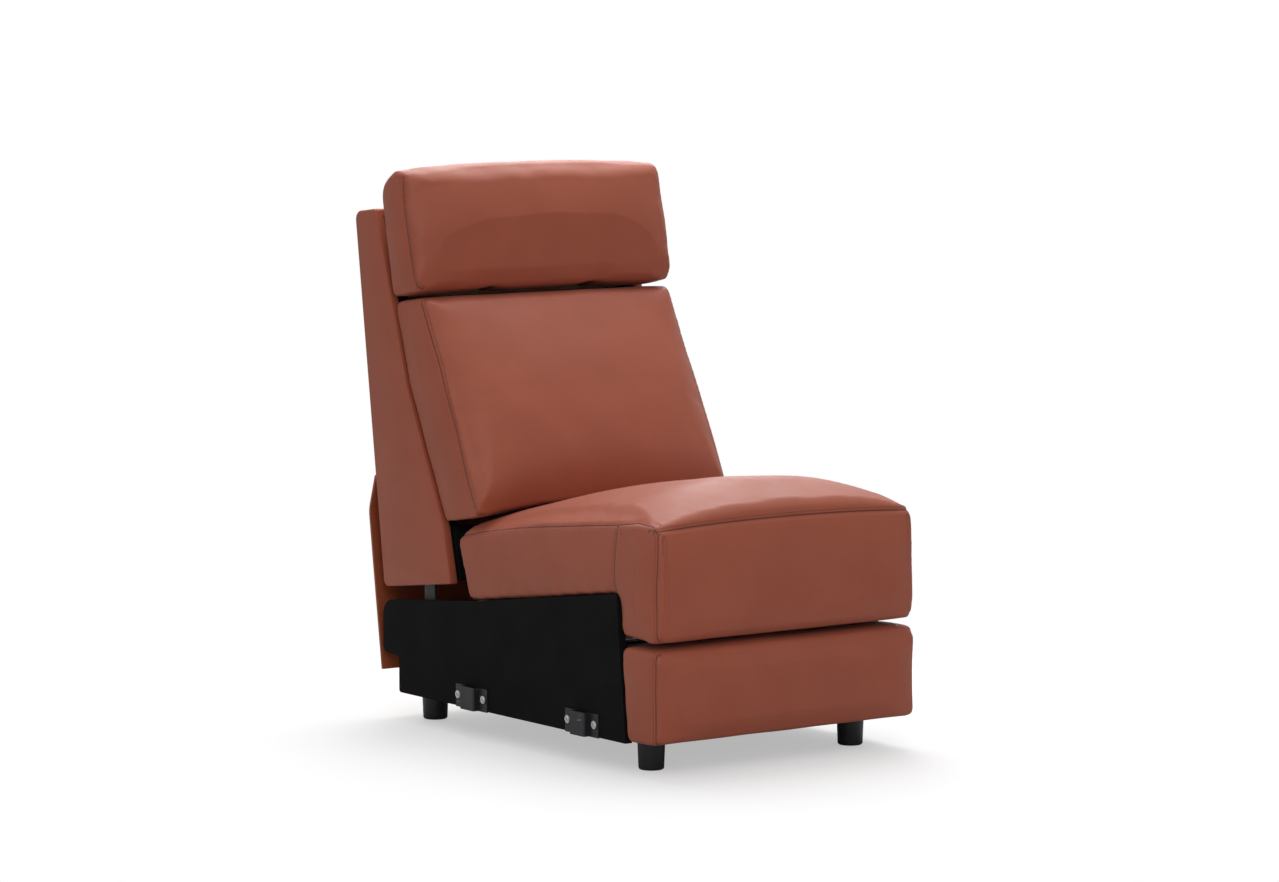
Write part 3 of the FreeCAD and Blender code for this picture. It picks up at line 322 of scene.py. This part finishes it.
def leather(name, lit=BRICK, deep=BRICK_DEEP):
    """Brick-red corrected-grain leather with its sewn seams read from the piece's attributes."""
    material, tree, shader, place = new_material(name)
    grain = use_group(tree, leather_grain, Place=place, Pebble=850.0)
    wear = use_group(tree, wear_marks, Place=place, Amount=0.06)
    gap = shader_node(tree, "ShaderNodeAttribute", attribute_name="seam_gap").outputs["Fac"]
    run = shader_node(tree, "ShaderNodeAttribute", attribute_name="seam_run").outputs["Fac"]
    seam = use_group(tree, sewn_seam, Gap=gap, Run=run)
    colour = colour_ramp(tree, grain.outputs["Cloud"], [(0.35, deep), (0.65, lit)])
    pores = maths(tree, "MULTIPLY", grain.outputs["Pores"], 0.18)
    shadow = maths(tree, "MULTIPLY", seam.outputs["Shadow"], 0.72)
    thread = maths(tree, "MULTIPLY", seam.outputs["Thread"], 0.7)
    colour = mixed(tree, pores, colour, BRICK_DARK)
    colour = mixed(tree, wear.outputs["Rub"], colour, BRICK_SCUFF)
    colour = mixed(tree, shadow, colour, BRICK_DARK)
    colour = mixed(tree, thread, colour, THREAD)
    feed(tree, shader, colour, fade(tree, wear.outputs["Blotch"], 0.3, 0.7, 0.50, 0.58))
    shader.inputs["Specular IOR Level"].default_value = 0.46
    shader.inputs["Sheen Weight"].default_value = 0.06
    shader.inputs["Sheen Roughness"].default_value = 0.5
    pressed = bumped(tree, shader, seam.outputs["Height"], 0.0016, 0.9)
    bumped(tree, shader, grain.outputs["Height"], 0.00010, 0.55, pressed)
    return material


def non_woven(name, colour, fleck):
    """Black spun-bonded cloth: flat matted fibres with a faint pressed dot pattern."""
    material, tree, shader, place = new_material(name)
    fibres = noise(tree, place, 1500.0, 4.0, roughness=0.75)
    dots = shader_node(
        tree, "ShaderNodeTexVoronoi", {"Vector": place, "Scale": 620.0, "Randomness": 0.25})
    pressed = fade(tree, dots.outputs["Distance"], 0.16, 0.32)
    wear = use_group(tree, wear_marks, Place=place, Amount=0.6)
    shade = maths(tree, "MULTIPLY", fibres, wear.outputs["Blotch"])
    tint = colour_ramp(tree, shade, [(0.10, colour), (0.45, fleck)])
    tint = mixed(tree, wear.outputs["Rub"], tint, (0.014, 0.014, 0.015))
    feed(tree, shader, tint, fade(tree, fibres, 0.3, 0.7, 0.82, 0.96))
    shader.inputs["Specular IOR Level"].default_value = 0.14
    first = bumped(tree, shader, pressed, 0.00012, 0.5)
    bumped(tree, shader, fibres, 0.0002, 0.5, first)
    return material


def webbing_cloth():
    """Woven elastic webbing with ribs along and across."""
    material, tree, shader, place = new_material("webbing cloth")
    rows = []
    for way, scale in (("X", 260.0), ("Y", 340.0)):
        wave = shader_node(
            tree, "ShaderNodeTexWave", {"Vector": place, "Scale": scale}, bands_direction=way)
        rows.append(wave.outputs["Fac"])
    weave = maths(tree, "MULTIPLY", *rows)
    tint = colour_ramp(tree, weave, [(0.1, (0.012, 0.012, 0.012)), (0.8, (0.055, 0.053, 0.05))])
    feed(tree, shader, tint, fade(tree, weave, 0.0, 1.0, 0.9, 0.75))
    bumped(tree, shader, weave, 0.0004, 0.6)
    return material


def painted_steel(name, colour, metal=0.35, rough=(0.38, 0.55), bare=(0.35, 0.35, 0.36)):
    """Steel with a dark satin coat and small bright scuffs."""
    material, tree, shader, place = new_material(name)
    wear = use_group(tree, wear_marks, Place=place, Amount=0.8)
    pale = tuple(part * 1.7 for part in colour)
    tint = mixed(tree, maths(tree, "MULTIPLY", wear.outputs["Blotch"], 0.4), colour, pale)
    tint = mixed(tree, wear.outputs["Rub"], tint, bare)
    feed(tree, shader, tint, fade(tree, wear.outputs["Blotch"], 0.3, 0.7, *rough))
    shader.inputs["Metallic"].default_value = metal
    bumped(tree, shader, noise(tree, place, 700.0, 2.0), 0.00008, 0.5)
    return material


def zinc_plate():
    """Bright zinc with a fine matt grain."""
    material, tree, shader, place = new_material("zinc plate")
    marks = noise(tree, place, 1800.0, 3.0)
    tint = colour_ramp(tree, marks, [(0.3, (0.50, 0.52, 0.54)), (0.7, (0.78, 0.80, 0.82))])
    feed(tree, shader, tint, fade(tree, marks, 0.3, 0.7, 0.28, 0.42))
    shader.inputs["Metallic"].default_value = 0.85
    bumped(tree, shader, marks, 0.00005, 0.4)
    return material


def moulded_plastic():
    """Black foot plastic with a fine spark-eroded skin and a few scuffs."""
    material, tree, shader, place = new_material("foot plastic")
    skin = noise(tree, place, 2200.0, 3.0)
    wear = use_group(tree, wear_marks, Place=place, Amount=0.9)
    dust = maths(tree, "MULTIPLY", wear.outputs["Blotch"], 0.25)
    tint = mixed(tree, wear.outputs["Rub"], (0.010, 0.010, 0.011), (0.06, 0.06, 0.06))
    tint = mixed(tree, dust, tint, (0.03, 0.03, 0.03))
    feed(tree, shader, tint, fade(tree, skin, 0.3, 0.7, 0.34, 0.48))
    bumped(tree, shader, skin, 0.00006, 0.5)
    return material


def rail_timber():
    """Planed softwood with growth rings along the length and a few dark flecks."""
    material, tree, shader, place = new_material("rail timber")
    stretch = shader_node(
        tree, "ShaderNodeMapping", {"Vector": place, "Scale": (1.0, 9.0, 9.0)}).outputs[0]
    rings = noise(tree, stretch, 7.0, 6.0, distortion=0.6)
    pores = noise(tree, stretch, 160.0, 2.0)
    tint = colour_ramp(tree, rings, [(0.3, (0.32, 0.19, 0.09)), (0.7, (0.55, 0.39, 0.22))])
    tint = mixed(tree, fade(tree, pores, 0.6, 0.75, 0.0, 0.5), tint, (0.20, 0.11, 0.05))
    feed(tree, shader, tint, fade(tree, rings, 0.3, 0.7, 0.62, 0.75))
    bumped(tree, shader, pores, 0.0002, 0.5)
    return material


brick_leather = leather("brick leather")
flap_leather = leather("flap leather", lit=(0.34, 0.075, 0.024), deep=(0.31, 0.064, 0.020))
side_cloth = non_woven("side cloth", (0.0030, 0.0030, 0.0036), (0.0072, 0.0072, 0.0080))
back_cloth = non_woven("back cloth", (0.0030, 0.0030, 0.0034), (0.0070, 0.0070, 0.0076))
strap_cloth = webbing_cloth()
dark_steel = painted_steel("dark steel", (0.035, 0.035, 0.038))
bracket_steel = painted_steel("bracket steel", (0.020, 0.020, 0.023), 0.25, (0.30, 0.44))
link_steel = painted_steel(
    "link steel", (0.10, 0.10, 0.105), 0.75, (0.32, 0.48), (0.45, 0.45, 0.46))
zinc = zinc_plate()
foot_plastic = moulded_plastic()
timber = rail_timber()

NODE_FINISHES = (
    (("side_board",), side_cloth),
    (("back_stiles",), back_cloth),
    (("base_rail", "seat_rail", "seat_side", "back_rail"), timber),
    (("headrest_board", "footrest_board"), timber),
    (("connectors",), bracket_steel),
    (("foot_plates", "mechanism", "back_posts", "headrest_arms", "headrest_ears"), dark_steel),
    (("glide", "seat_plates", "tong_bars", "footrest_tube", "footrest_brackets"), link_steel),
)


def paint_nodes():
    """Give every CAD node that still shows the finish of its kind."""
    for node, item in nodes.items():
        for starts, material in NODE_FINISHES:
            if node.startswith(starts):
                for slot in item.material_slots:
                    slot.material = material


paint_nodes()


# Soft pieces

def points_of(piece):
    points = np.empty(len(piece.data.vertices) * 3)
    piece.data.vertices.foreach_get("co", points)
    return points.reshape(-1, 3)


def normals_of(piece):
    normals = np.empty(len(piece.data.vertices) * 3)
    piece.data.vertices.foreach_get("normal", normals)
    return normals.reshape(-1, 3)


def move_points(piece, points):
    piece.data.vertices.foreach_set("co", points.ravel())
    piece.data.update()


def mark(piece, name, chosen):
    """New vertex group with the chosen points."""
    group = piece.vertex_groups.new(name=name)
    group.add([int(index) for index in np.nonzero(chosen)[0]], 1.0, "REPLACE")


def by_facing(normals, amounts):
    """At each point, the amounts for front, top, bottom and side, by how far it faces them."""
    shares = {
        "front": np.clip(-normals[:, 1], 0.0, 1.0) ** 2,
        "top": np.clip(normals[:, 2], 0.0, 1.0) ** 2,
        "bottom": np.clip(-normals[:, 2], 0.0, 1.0) ** 2,
        "side": normals[:, 0] ** 2,
    }
    return sum(shares[way] * amount for way, amount in amounts.items())


FOAM_PRESSURE = 4.5
LAST_FRAME = 20
LEAST_RISE = 0.0002
MOST_SINK = 0.0025
MOST_DRIFT = 0.003


def swell(piece, crown, held):
    """Blow the piece up as cloth over foam; crown is the most that each facing may rise."""
    rest = points_of(piece)
    normals = normals_of(piece)
    mark(piece, "held", held(rest))
    activate(piece)
    cloth = piece.modifiers.new("Cloth", "CLOTH")
    settings = cloth.settings
    settings.use_pressure = True
    settings.uniform_pressure_force = FOAM_PRESSURE
    settings.effector_weights.gravity = 0.0
    settings.vertex_group_mass = "held"
    settings.tension_stiffness = 15.0
    settings.compression_stiffness = 15.0
    settings.bending_stiffness = 2.0
    settings.quality = 4
    cloth.collision_settings.use_collision = False
    cloth.point_cache.frame_start = 1
    cloth.point_cache.frame_end = LAST_FRAME
    scene = bpy.context.scene
    for step in range(1, LAST_FRAME + 1):
        scene.frame_set(step)
    bpy.ops.object.modifier_apply(modifier="Cloth")
    scene.frame_set(1)
    move = points_of(piece) - rest
    rise = np.sum(move * normals, axis=1)
    drift = move - normals * rise[:, None]
    most = LEAST_RISE + by_facing(normals, crown)
    rise = np.where(rise > 0.0, most * np.tanh(rise / most), MOST_SINK * np.tanh(rise / MOST_SINK))
    length = np.linalg.norm(drift, axis=1, keepdims=True)
    drift *= np.minimum(1.0, MOST_DRIFT / np.maximum(length, 1e-9))
    move_points(piece, rest + normals * rise[:, None] + drift)
    piece.vertex_groups.clear()


def remeshed(covered, name, voxel):
    """One closed skin over copies of the named CAD nodes."""
    copies = [copy_of(node, name) for node in covered]
    activate(copies[0])
    for other in copies[1:]:
        other.select_set(True)
    if len(copies) > 1:
        bpy.ops.object.join()
    piece = copies[0]
    apply_modifier(piece, "REMESH", mode="VOXEL", voxel_size=voxel, use_smooth_shade=True)
    return piece


def relax(piece, rounds, **limits):
    apply_modifier(piece, "SMOOTH", factor=0.5, iterations=rounds, **limits)


def smooth_faces(piece, rounds):
    """Even out the broad faces of a cushion and leave its rounded edges as they are."""
    mark(piece, "faces", np.max(np.abs(normals_of(piece)), axis=1) > 0.86)
    relax(piece, rounds, vertex_group="faces")
    piece.vertex_groups.clear()


def ease(value, low, high):
    """0 below one bound, 1 above the other, smooth between."""
    share = np.clip((value - low) / (high - low), 0.0, 1.0)
    return share * share * (3.0 - 2.0 * share)


def band(value, low, high, soft=0.004):
    """1 between two bounds and 0 outside, with soft ends."""
    return ease(value, low - soft, low) * (1.0 - ease(value, high, high + soft))


def ripple(points, scale, seed):
    """Slow, smooth unevenness between about -1 and 1 over the points."""
    turns = np.array([[1.0, 0.7, 0.4], [-0.6, 1.1, 0.8], [0.9, -0.5, 1.2], [0.3, 0.9, -1.1]])
    total = np.zeros(len(points))
    for index, turn in enumerate(turns):
        total += np.sin(points @ turn * scale * (1.0 + 0.37 * index) + seed * 1.7 + index * 2.1)
    return total / len(turns)


def polyline(spots):
    """Signed gap and run of a line through (Y, Z) spots, seen from the side, for many points."""
    def measured(points):
        best = np.full(len(points), 9.0)
        run = np.zeros(len(points))
        total = 0.0
        for first, last in zip(spots, spots[1:]):
            edge = np.array(last) - np.array(first)
            length = np.linalg.norm(edge)
            way = edge / length
            rel = points[:, 1:3] - np.array(first)
            along = np.clip(rel @ way, 0.0, length)
            away = np.linalg.norm(rel - along[:, None] * way, axis=1)
            side = np.where(way[0] * rel[:, 1] - way[1] * rel[:, 0] > 0.0, 1.0, -1.0)
            near = away < np.abs(best)
            best = np.where(near, away * side, best)
            run = np.where(near, total + along, run)
            total += length
        return best, run
    return measured


def write_seams(piece, seams):
    """Give every point its signed gap to and run along the nearest seam, and press the seams in.

    A seam is (measure, region, depth, pucker): measure gives gap and run in metres for many
    points, and region gives from 0 to 1 how much of the seam there is at each point.
    """
    groove_width = 0.0045
    pucker_width = 0.011
    points = points_of(piece)
    normals = normals_of(piece)
    best = np.full(len(points), 1.0)
    runs = np.zeros(len(points))
    sink = np.zeros(len(points))
    for measure, region, depth, pucker in seams:
        gap, run = measure(points)
        share = region(points)
        near = (share > 0.3) & (np.abs(gap) < np.abs(best))
        best = np.where(near, gap, best)
        runs = np.where(near, run, runs)
        groove = depth * np.exp(-(gap / groove_width) ** 2)
        wave = np.sin(run * 470.0 + 2.0 * np.sin(run * 61.0))
        puckers = wave * np.exp(-(gap / pucker_width) ** 2)
        sink = np.maximum(sink, share * (groove + pucker * (0.5 + 0.5 * puckers)))
    move_points(piece, points - normals * sink[:, None])
    for name, values in (("seam_gap", best), ("seam_run", runs)):
        attribute = piece.data.attributes.new(name, "FLOAT", "POINT")
        attribute.data.foreach_set("value", values.astype(np.float32))


def smooth_by_angle(piece, degrees=40.0):
    activate(piece)
    bpy.ops.object.shade_smooth_by_angle(angle=math.radians(degrees))


SKIN = 0.0004
COVER = 0.0010
UNEVENNESS = 0.0008
PROUD = 0.006
FIRST_ROUNDS = 5
FACE_ROUNDS = 160


def cushion(covered, name, body, voxel, rounds, crown, growth, seams, seed, held=None):
    """Upholstered cushion made from its CAD solids: one skin, swollen, smoothed and seamed.

    Crown is the most that the foam may rise, growth what the cover adds to it, and held says
    which points stay on the frame.
    """
    boxes = [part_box(node) for node in covered]
    low = np.min([tuple(corner[0]) for corner in boxes], axis=0)
    high = np.max([tuple(corner[1]) for corner in boxes], axis=0)
    piece = remeshed(covered, name, voxel)
    move_points(piece, points_of(piece) + normals_of(piece) * SKIN)
    relax(piece, FIRST_ROUNDS)
    swell(piece, crown, held or (lambda points: np.zeros(len(points), bool)))
    relax(piece, rounds)
    smooth_faces(piece, FACE_ROUNDS)
    normals = normals_of(piece)
    rise = COVER + by_facing(normals, growth)
    move_points(piece, points_of(piece) + normals * rise[:, None])
    points = points_of(piece)
    uneven = ripple(points, 26.0, seed) * UNEVENNESS
    move_points(piece, points + normals_of(piece) * uneven[:, None])
    apply_modifier(piece, "SUBSURF", levels=1, render_levels=1)
    move_points(piece, np.clip(points_of(piece), low - PROUD, high + PROUD))
    write_seams(piece, seams)
    activate(piece)
    bpy.ops.object.shade_smooth()
    finish_piece(piece, body, brick_leather, covered)


FRONT_SEAM = 0.448
FRONT_SEAM_RISE = 0.010
CORNER_DEPTH = 0.010
GUSSET_DEPTH = 0.131
PANEL_INSET = 0.022


def across_front(points):
    """Gap and run of the seam across the front, a little higher in its middle."""
    crown = np.clip(1.0 - np.abs(points[:, 0] / half_width) ** 2.2, 0.0, 1.0)
    return points[:, 2] - FRONT_SEAM - FRONT_SEAM_RISE * crown, points[:, 0]


def upright(depth):
    """Gap and run of an upright seam on the side panels; what lies behind it is positive."""
    return lambda points: (points[:, 1] - at(depth), points[:, 2])


def near_side(points, inset, side=half_width):
    return ease(np.abs(points[:, 0]), side - inset - 0.004, side - inset)


def make_seat():
    """Seat and its front border in one cover: front panel, side gussets, side panels and top."""
    side_top = polyline([
        (at(0.662), 0.374), (at(0.571), 0.394), (at(0.464), 0.411), (at(0.367), 0.423),
        (at(0.135), 0.449), (at(0.078), 0.458), (at(0.029), 0.456), (at(0.010), 0.441),
    ])

    def held(points):
        under = points[:, 2] < seat_low.z + 0.012 + 0.07 * ease(points[:, 1], at(0.45), at(0.13))
        behind = points[:, 1] > at(0.02)
        low = points[:, 2] < border_low.z + 0.006
        return (under & behind) | low

    def front_region(points):
        across = band(np.abs(points[:, 0]), -1.0, half_width - 0.010)
        return band(points[:, 1], -9.0, at(0.035)) * across

    def corner_region(points):
        return near_side(points, 0.016) * band(points[:, 2], border_low.z, FRONT_SEAM - 0.004)

    def gusset_region(points):
        return near_side(points, 0.012) * band(points[:, 2], -1.0, FRONT_SEAM - 0.001)

    def top_region(points):
        return near_side(points, PANEL_INSET)

    cushion(
        ("seat_border", "seat_cushion"), "seat_leather", "seat", voxel=0.007, rounds=16,
        crown={"top": 0.010, "bottom": 0.002, "front": 0.009, "side": 0.004},
        growth={"bottom": 0.0025}, seed=1, held=held,
        seams=[
            (across_front, front_region, 0.0030, 0.0002),
            (upright(CORNER_DEPTH), corner_region, 0.0018, 0.0002),
            (upright(GUSSET_DEPTH), gusset_region, 0.0012, 0.0001),
            (side_top, top_region, 0.0020, 0.0003),
        ])


def make_lumbar():
    """Lumbar cushion with stitched side panels."""
    side_line = polyline([
        (at(0.578), 0.414), (at(0.610), 0.480), (at(0.655), 0.585),
        (at(0.705), 0.690), (at(0.772), 0.814),
    ])
    cushion(
        ("lumbar_cushion",), "lumbar_leather", "back", voxel=0.0065, rounds=14,
        crown={"front": 0.018, "top": 0.005, "side": 0.005}, growth={"top": 0.0045}, seed=3,
        seams=[(side_line, lambda points: near_side(points, PANEL_INSET), 0.0022, 0.0005)])


def make_headrest():
    """Headrest cushion with stitched side panels."""
    side_line = polyline([
        (at(0.772), 0.826), (at(0.786), 0.878), (at(0.801), 0.938),
        (at(0.815), 1.003), (at(0.822), 1.045),
    ])

    def side_region(points):
        return near_side(points, PANEL_INSET, headrest_half_width)

    cushion(
        ("headrest_cushion",), "headrest_leather", "headrest", voxel=0.006, rounds=26,
        crown={"front": 0.016, "top": 0.006, "side": 0.005},
        growth={"bottom": 0.0035, "top": 0.003}, seed=4,
        seams=[(side_line, side_region, 0.0022, 0.0006)])


def make_footrest():
    """Footrest pad with an upright seam near each end."""
    def corner_region(points):
        return near_side(points, 0.016)

    cushion(
        ("footrest_pad",), "footrest_leather", "footrest", voxel=0.006, rounds=10,
        crown={"front": 0.008, "top": 0.005, "side": 0.003}, growth={"top": 0.002}, seed=5,
        held=lambda points: points[:, 1] > at(0.080),
        seams=[(upright(CORNER_DEPTH), corner_region, 0.0018, 0.0002)])


def bevelled_copy(node, name, width, segments=3):
    """Copy of a CAD node with its flats merged and its edges rounded."""
    piece = copy_of(node, name)
    activate(piece)
    bpy.ops.object.mode_set(mode="EDIT")
    bpy.ops.mesh.select_all(action="SELECT")
    bpy.ops.mesh.dissolve_limited(angle_limit=math.radians(1.0))
    leave_edit()
    apply_modifier(piece, "BEVEL", width=width, segments=segments, limit_method="ANGLE",
                   angle_limit=math.radians(32.0), use_clamp_overlap=True)
    return piece


def sliced(piece, *rows):
    """Cut the piece's faces into rows: each is the axis, its low and high ends and a count."""
    activate(piece)
    bpy.ops.object.mode_set(mode="EDIT")
    for way, low, high, count in rows:
        facing = Vector((0.0, 0.0, 0.0))
        facing[way] = 1.0
        for step in range(1, count):
            bpy.ops.mesh.select_all(action="SELECT")
            place = facing * (low + (high - low) * step / count)
            bpy.ops.mesh.bisect(plane_co=place, plane_no=facing)
    leave_edit()


def make_shell():
    """Back shell: leather drawn over its padded board, a little fuller in the middle."""
    low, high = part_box("back_shell")
    piece = bevelled_copy("back_shell", "back_shell_leather", 0.0035)
    sliced(piece, (0, low.x, high.x, 24), (2, low.z, high.z, 30))
    points = points_of(piece)
    crown = np.clip(1.0 - (points[:, 0] / half_width) ** 4, 0.0, 1.0)
    drawn = np.where(normals_of(piece)[:, 1] > 0.5, crown, 0.0)
    points[:, 1] += drawn * (0.003 + ripple(points, 14.0, 6) * 0.0010)
    move_points(piece, points)
    write_seams(piece, [])
    smooth_by_angle(piece)
    finish_piece(piece, "back", brick_leather, ("back_shell",))


def make_flap():
    """Rear flap: one panel of leather that hangs from the back, wavier towards its lower edge."""
    low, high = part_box("rear_flap")
    piece = copy_of("rear_flap", "rear_flap_leather")
    sliced(piece, (0, low.x, high.x, 28))
    points = points_of(piece)
    loose = ease(-points[:, 2], -high.z + 0.03, -low.z)
    wave = np.sin(points[:, 0] * 17.0 + 0.6) + 0.5 * np.sin(points[:, 0] * 39.0 + 2.0)
    points[:, 1] += 0.0022 * wave * loose
    move_points(piece, points)
    write_seams(piece, [])
    smooth_by_angle(piece)
    finish_piece(piece, "flap", flap_leather, ("rear_flap",))


def make_straps():
    """Woven straps behind the lumbar cushion and under the seat, rounded from their CAD solids."""
    for node, body in (("back_webbing", "back"), ("seat_webbing", "seat")):
        piece = bevelled_copy(node, node + "_straps", 0.0006, 2)
        smooth_by_angle(piece)
        finish_piece(piece, body, strap_cloth, (node,))


def make_lower_cloth():
    """Black cloth stretched over the lower front of the back."""
    low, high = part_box("back_lower_cloth")
    piece = bevelled_copy("back_lower_cloth", "back_lower_cloth_sheet", 0.0004, 2)
    sliced(piece, (0, low.x, high.x, 30), (2, low.z, high.z, 10))
    points = points_of(piece)
    open_part = np.clip(1.0 - np.abs(points[:, 0]) / 0.24, 0.0, 1.0) ** 0.5
    points[:, 1] -= 0.0016 * open_part * (1.0 + 0.5 * np.sin(points[:, 0] * 60.0))
    move_points(piece, points)
    smooth_by_angle(piece, 50.0)
    finish_piece(piece, "back", back_cloth, ("back_lower_cloth",))


def make_headrest_back():
    """Board behind the headrest cushion, drawn over with leather."""
    piece = bevelled_copy("headrest_board", "headrest_board_cover", 0.0030)
    write_seams(piece, [])
    smooth_by_angle(piece)
    finish_piece(piece, "headrest", brick_leather, ("headrest_board",))


make_straps()
make_lower_cloth()
make_headrest_back()
make_seat()
make_lumbar()
make_headrest()
make_footrest()
make_shell()
make_flap()


# Feet and screws

def make_feet():
    """Turned black feet: a slight taper, a rounded sole and a rim under the plate."""
    for foot in ("foot_front_left", "foot_front_right", "foot_rear_left", "foot_rear_right"):
        low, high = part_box(foot)
        deselect()
        bpy.ops.mesh.primitive_cylinder_add(
            vertices=48, radius=(high.x - low.x) / 2, depth=high.z - low.z,
            location=(low + high) / 2)
        piece = bpy.context.active_object
        piece.name = foot + "_turned"
        keep_place(piece)
        select_faces(piece, lambda centre, normal: normal.z < -0.9)
        bpy.ops.transform.resize(value=(0.92, 0.92, 1.0))
        bpy.ops.mesh.bevel(offset=0.004, segments=4, affect="EDGES")
        leave_edit()
        select_faces(piece, lambda centre, normal: normal.z > 0.9)
        bpy.ops.mesh.inset(thickness=0.004)
        leave_edit()
        smooth_by_angle(piece, 35.0)
        finish_piece(piece, "base", foot_plastic, (foot,))


SCREW_DEPTHS = (0.188, 0.272, 0.548, 0.632)
FLANGE = 0.0020
HEAD_RISE = 0.0012
SOCKET = 0.0026


def make_screw(side, outer, depth, height, radius):
    """One screw head on its flange, with a round socket."""
    outward = Vector((side, 0.0, 0.0))
    deselect()
    bpy.ops.mesh.primitive_cylinder_add(
        vertices=32, radius=radius, depth=FLANGE, rotation=(0.0, side * math.pi / 2, 0.0),
        location=(side * (outer - FLANGE / 2), at(depth), height))
    head = bpy.context.active_object
    keep_place(head)
    select_faces(head, lambda centre, normal: normal.dot(outward) > 0.9)
    bpy.ops.mesh.inset(thickness=radius * 0.34)
    bpy.ops.mesh.extrude_region_move(TRANSFORM_OT_translate={"value": outward * HEAD_RISE})
    bpy.ops.transform.resize(value=(1.0, 0.9, 0.9))
    bpy.ops.mesh.inset(thickness=radius * 0.24)
    bpy.ops.mesh.extrude_region_move(TRANSFORM_OT_translate={"value": outward * -SOCKET})
    leave_edit()
    return head


def make_screws():
    """Zinc screws that hold the connector brackets to the side boards."""
    low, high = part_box("connector_screws")
    radius = (high.z - low.z) / 2
    height = (low.z + high.z) / 2
    heads = [make_screw(side, high.x, depth, height, radius)
             for side in (-1.0, 1.0) for depth in SCREW_DEPTHS]
    activate(heads[0])
    for head in heads[1:]:
        head.select_set(True)
    bpy.ops.object.join()
    piece = heads[0]
    piece.name = "connector_screw_heads"
    smooth_by_angle(piece, 35.0)
    finish_piece(piece, "base", zinc, ("connector_screws",))


make_feet()
make_screws()


# Stage, light and camera

def make_floor():
    """Pale floor that runs into the white background away from the chair."""
    bpy.ops.mesh.primitive_plane_add(size=400.0, location=(0.0, 0.0, -0.0004))
    floor = bpy.context.active_object
    floor.name = "studio_floor"
    keep_place(floor)
    material, tree, shader, place = new_material("studio floor")
    seen = tree.nodes.new("ShaderNodeLightPath").outputs["Is Camera Ray"]
    shades = [(0.3, (0.93, 0.93, 0.93)), (0.7, (0.95, 0.95, 0.95))]
    pale = colour_ramp(tree, noise(tree, place, 3.0, 2.0), shades)
    tree.links.new(mixed(tree, seen, (0.50, 0.50, 0.50), pale), shader.inputs["Base Color"])
    shader.inputs["Roughness"].default_value = 0.85
    shader.inputs["Specular IOR Level"].default_value = 0.1
    reach = shader_node(tree, "ShaderNodeVectorMath", operation="LENGTH")
    tree.links.new(place, reach.inputs[0])
    far = fade(tree, reach.outputs["Value"], 0.45, 1.7, 0.45, 1.0)
    white = (1.0, 1.0, 1.0, 1.0)
    glow = shader_node(tree, "ShaderNodeEmission", {"Color": white, "Strength": 1.0})
    blend = tree.nodes.new("ShaderNodeMixShader")
    tree.links.new(maths(tree, "MULTIPLY", far, seen), blend.inputs[0])
    tree.links.new(shader.outputs[0], blend.inputs[1])
    tree.links.new(glow.outputs[0], blend.inputs[2])
    tree.links.new(blend.outputs[0], tree.nodes["Material Output"].inputs["Surface"])
    floor.data.materials.append(material)


def area_light(name, place, aim, size, energy):
    """Round soft lamp turned towards a point."""
    bpy.ops.object.light_add(type="AREA", location=place)
    lamp = bpy.context.active_object
    lamp.name = name
    lamp.data.shape = "DISK"
    lamp.data.size = size
    lamp.data.energy = energy
    lamp.rotation_euler = (Vector(aim) - Vector(place)).to_track_quat("-Z", "Y").to_euler()


def make_light():
    """Even white world, a key lamp at the camera's side, one lamp above and one behind."""
    world = bpy.data.worlds.new("studio")
    bpy.context.scene.world = world
    world.use_nodes = True
    tree = world.node_tree
    background = tree.nodes["Background"]
    background.inputs["Color"].default_value = (1.0, 1.0, 1.0, 1.0)
    path = tree.nodes.new("ShaderNodeLightPath").outputs
    seen = maths(tree, "MAXIMUM", path["Is Camera Ray"], path["Is Transmission Ray"])
    strength = fade(tree, seen, 0.0, 1.0, 0.55, 1.0)
    tree.links.new(strength, background.inputs["Strength"])
    area_light("key", (-2.4, -3.4, 2.6), (0.0, 0.0, 0.5), 2.2, 40.0)
    area_light("rear", (2.4, 3.4, 2.5), (0.0, -0.2, 0.5), 2.4, 46.0)
    area_light("top", (0.7, 0.9, 3.3), (0.0, -0.1, 0.5), 2.8, 92.0)


def make_camera():
    """Camera at the photograph's viewing angle."""
    bpy.ops.object.camera_add(location=(-5.2927, -7.3031, 1.492))
    camera = bpy.context.active_object
    camera.name = "photograph_view"
    camera.rotation_euler = (math.radians(90.0 - 5.94), 0.0, math.radians(-36.04))
    camera.data.lens = 134.3
    camera.data.sensor_width = 36.0
    camera.data.clip_end = 500.0
    bpy.context.scene.camera = camera


make_floor()
make_light()
make_camera()
bpy.context.scene.view_settings.view_transform = "Standard"
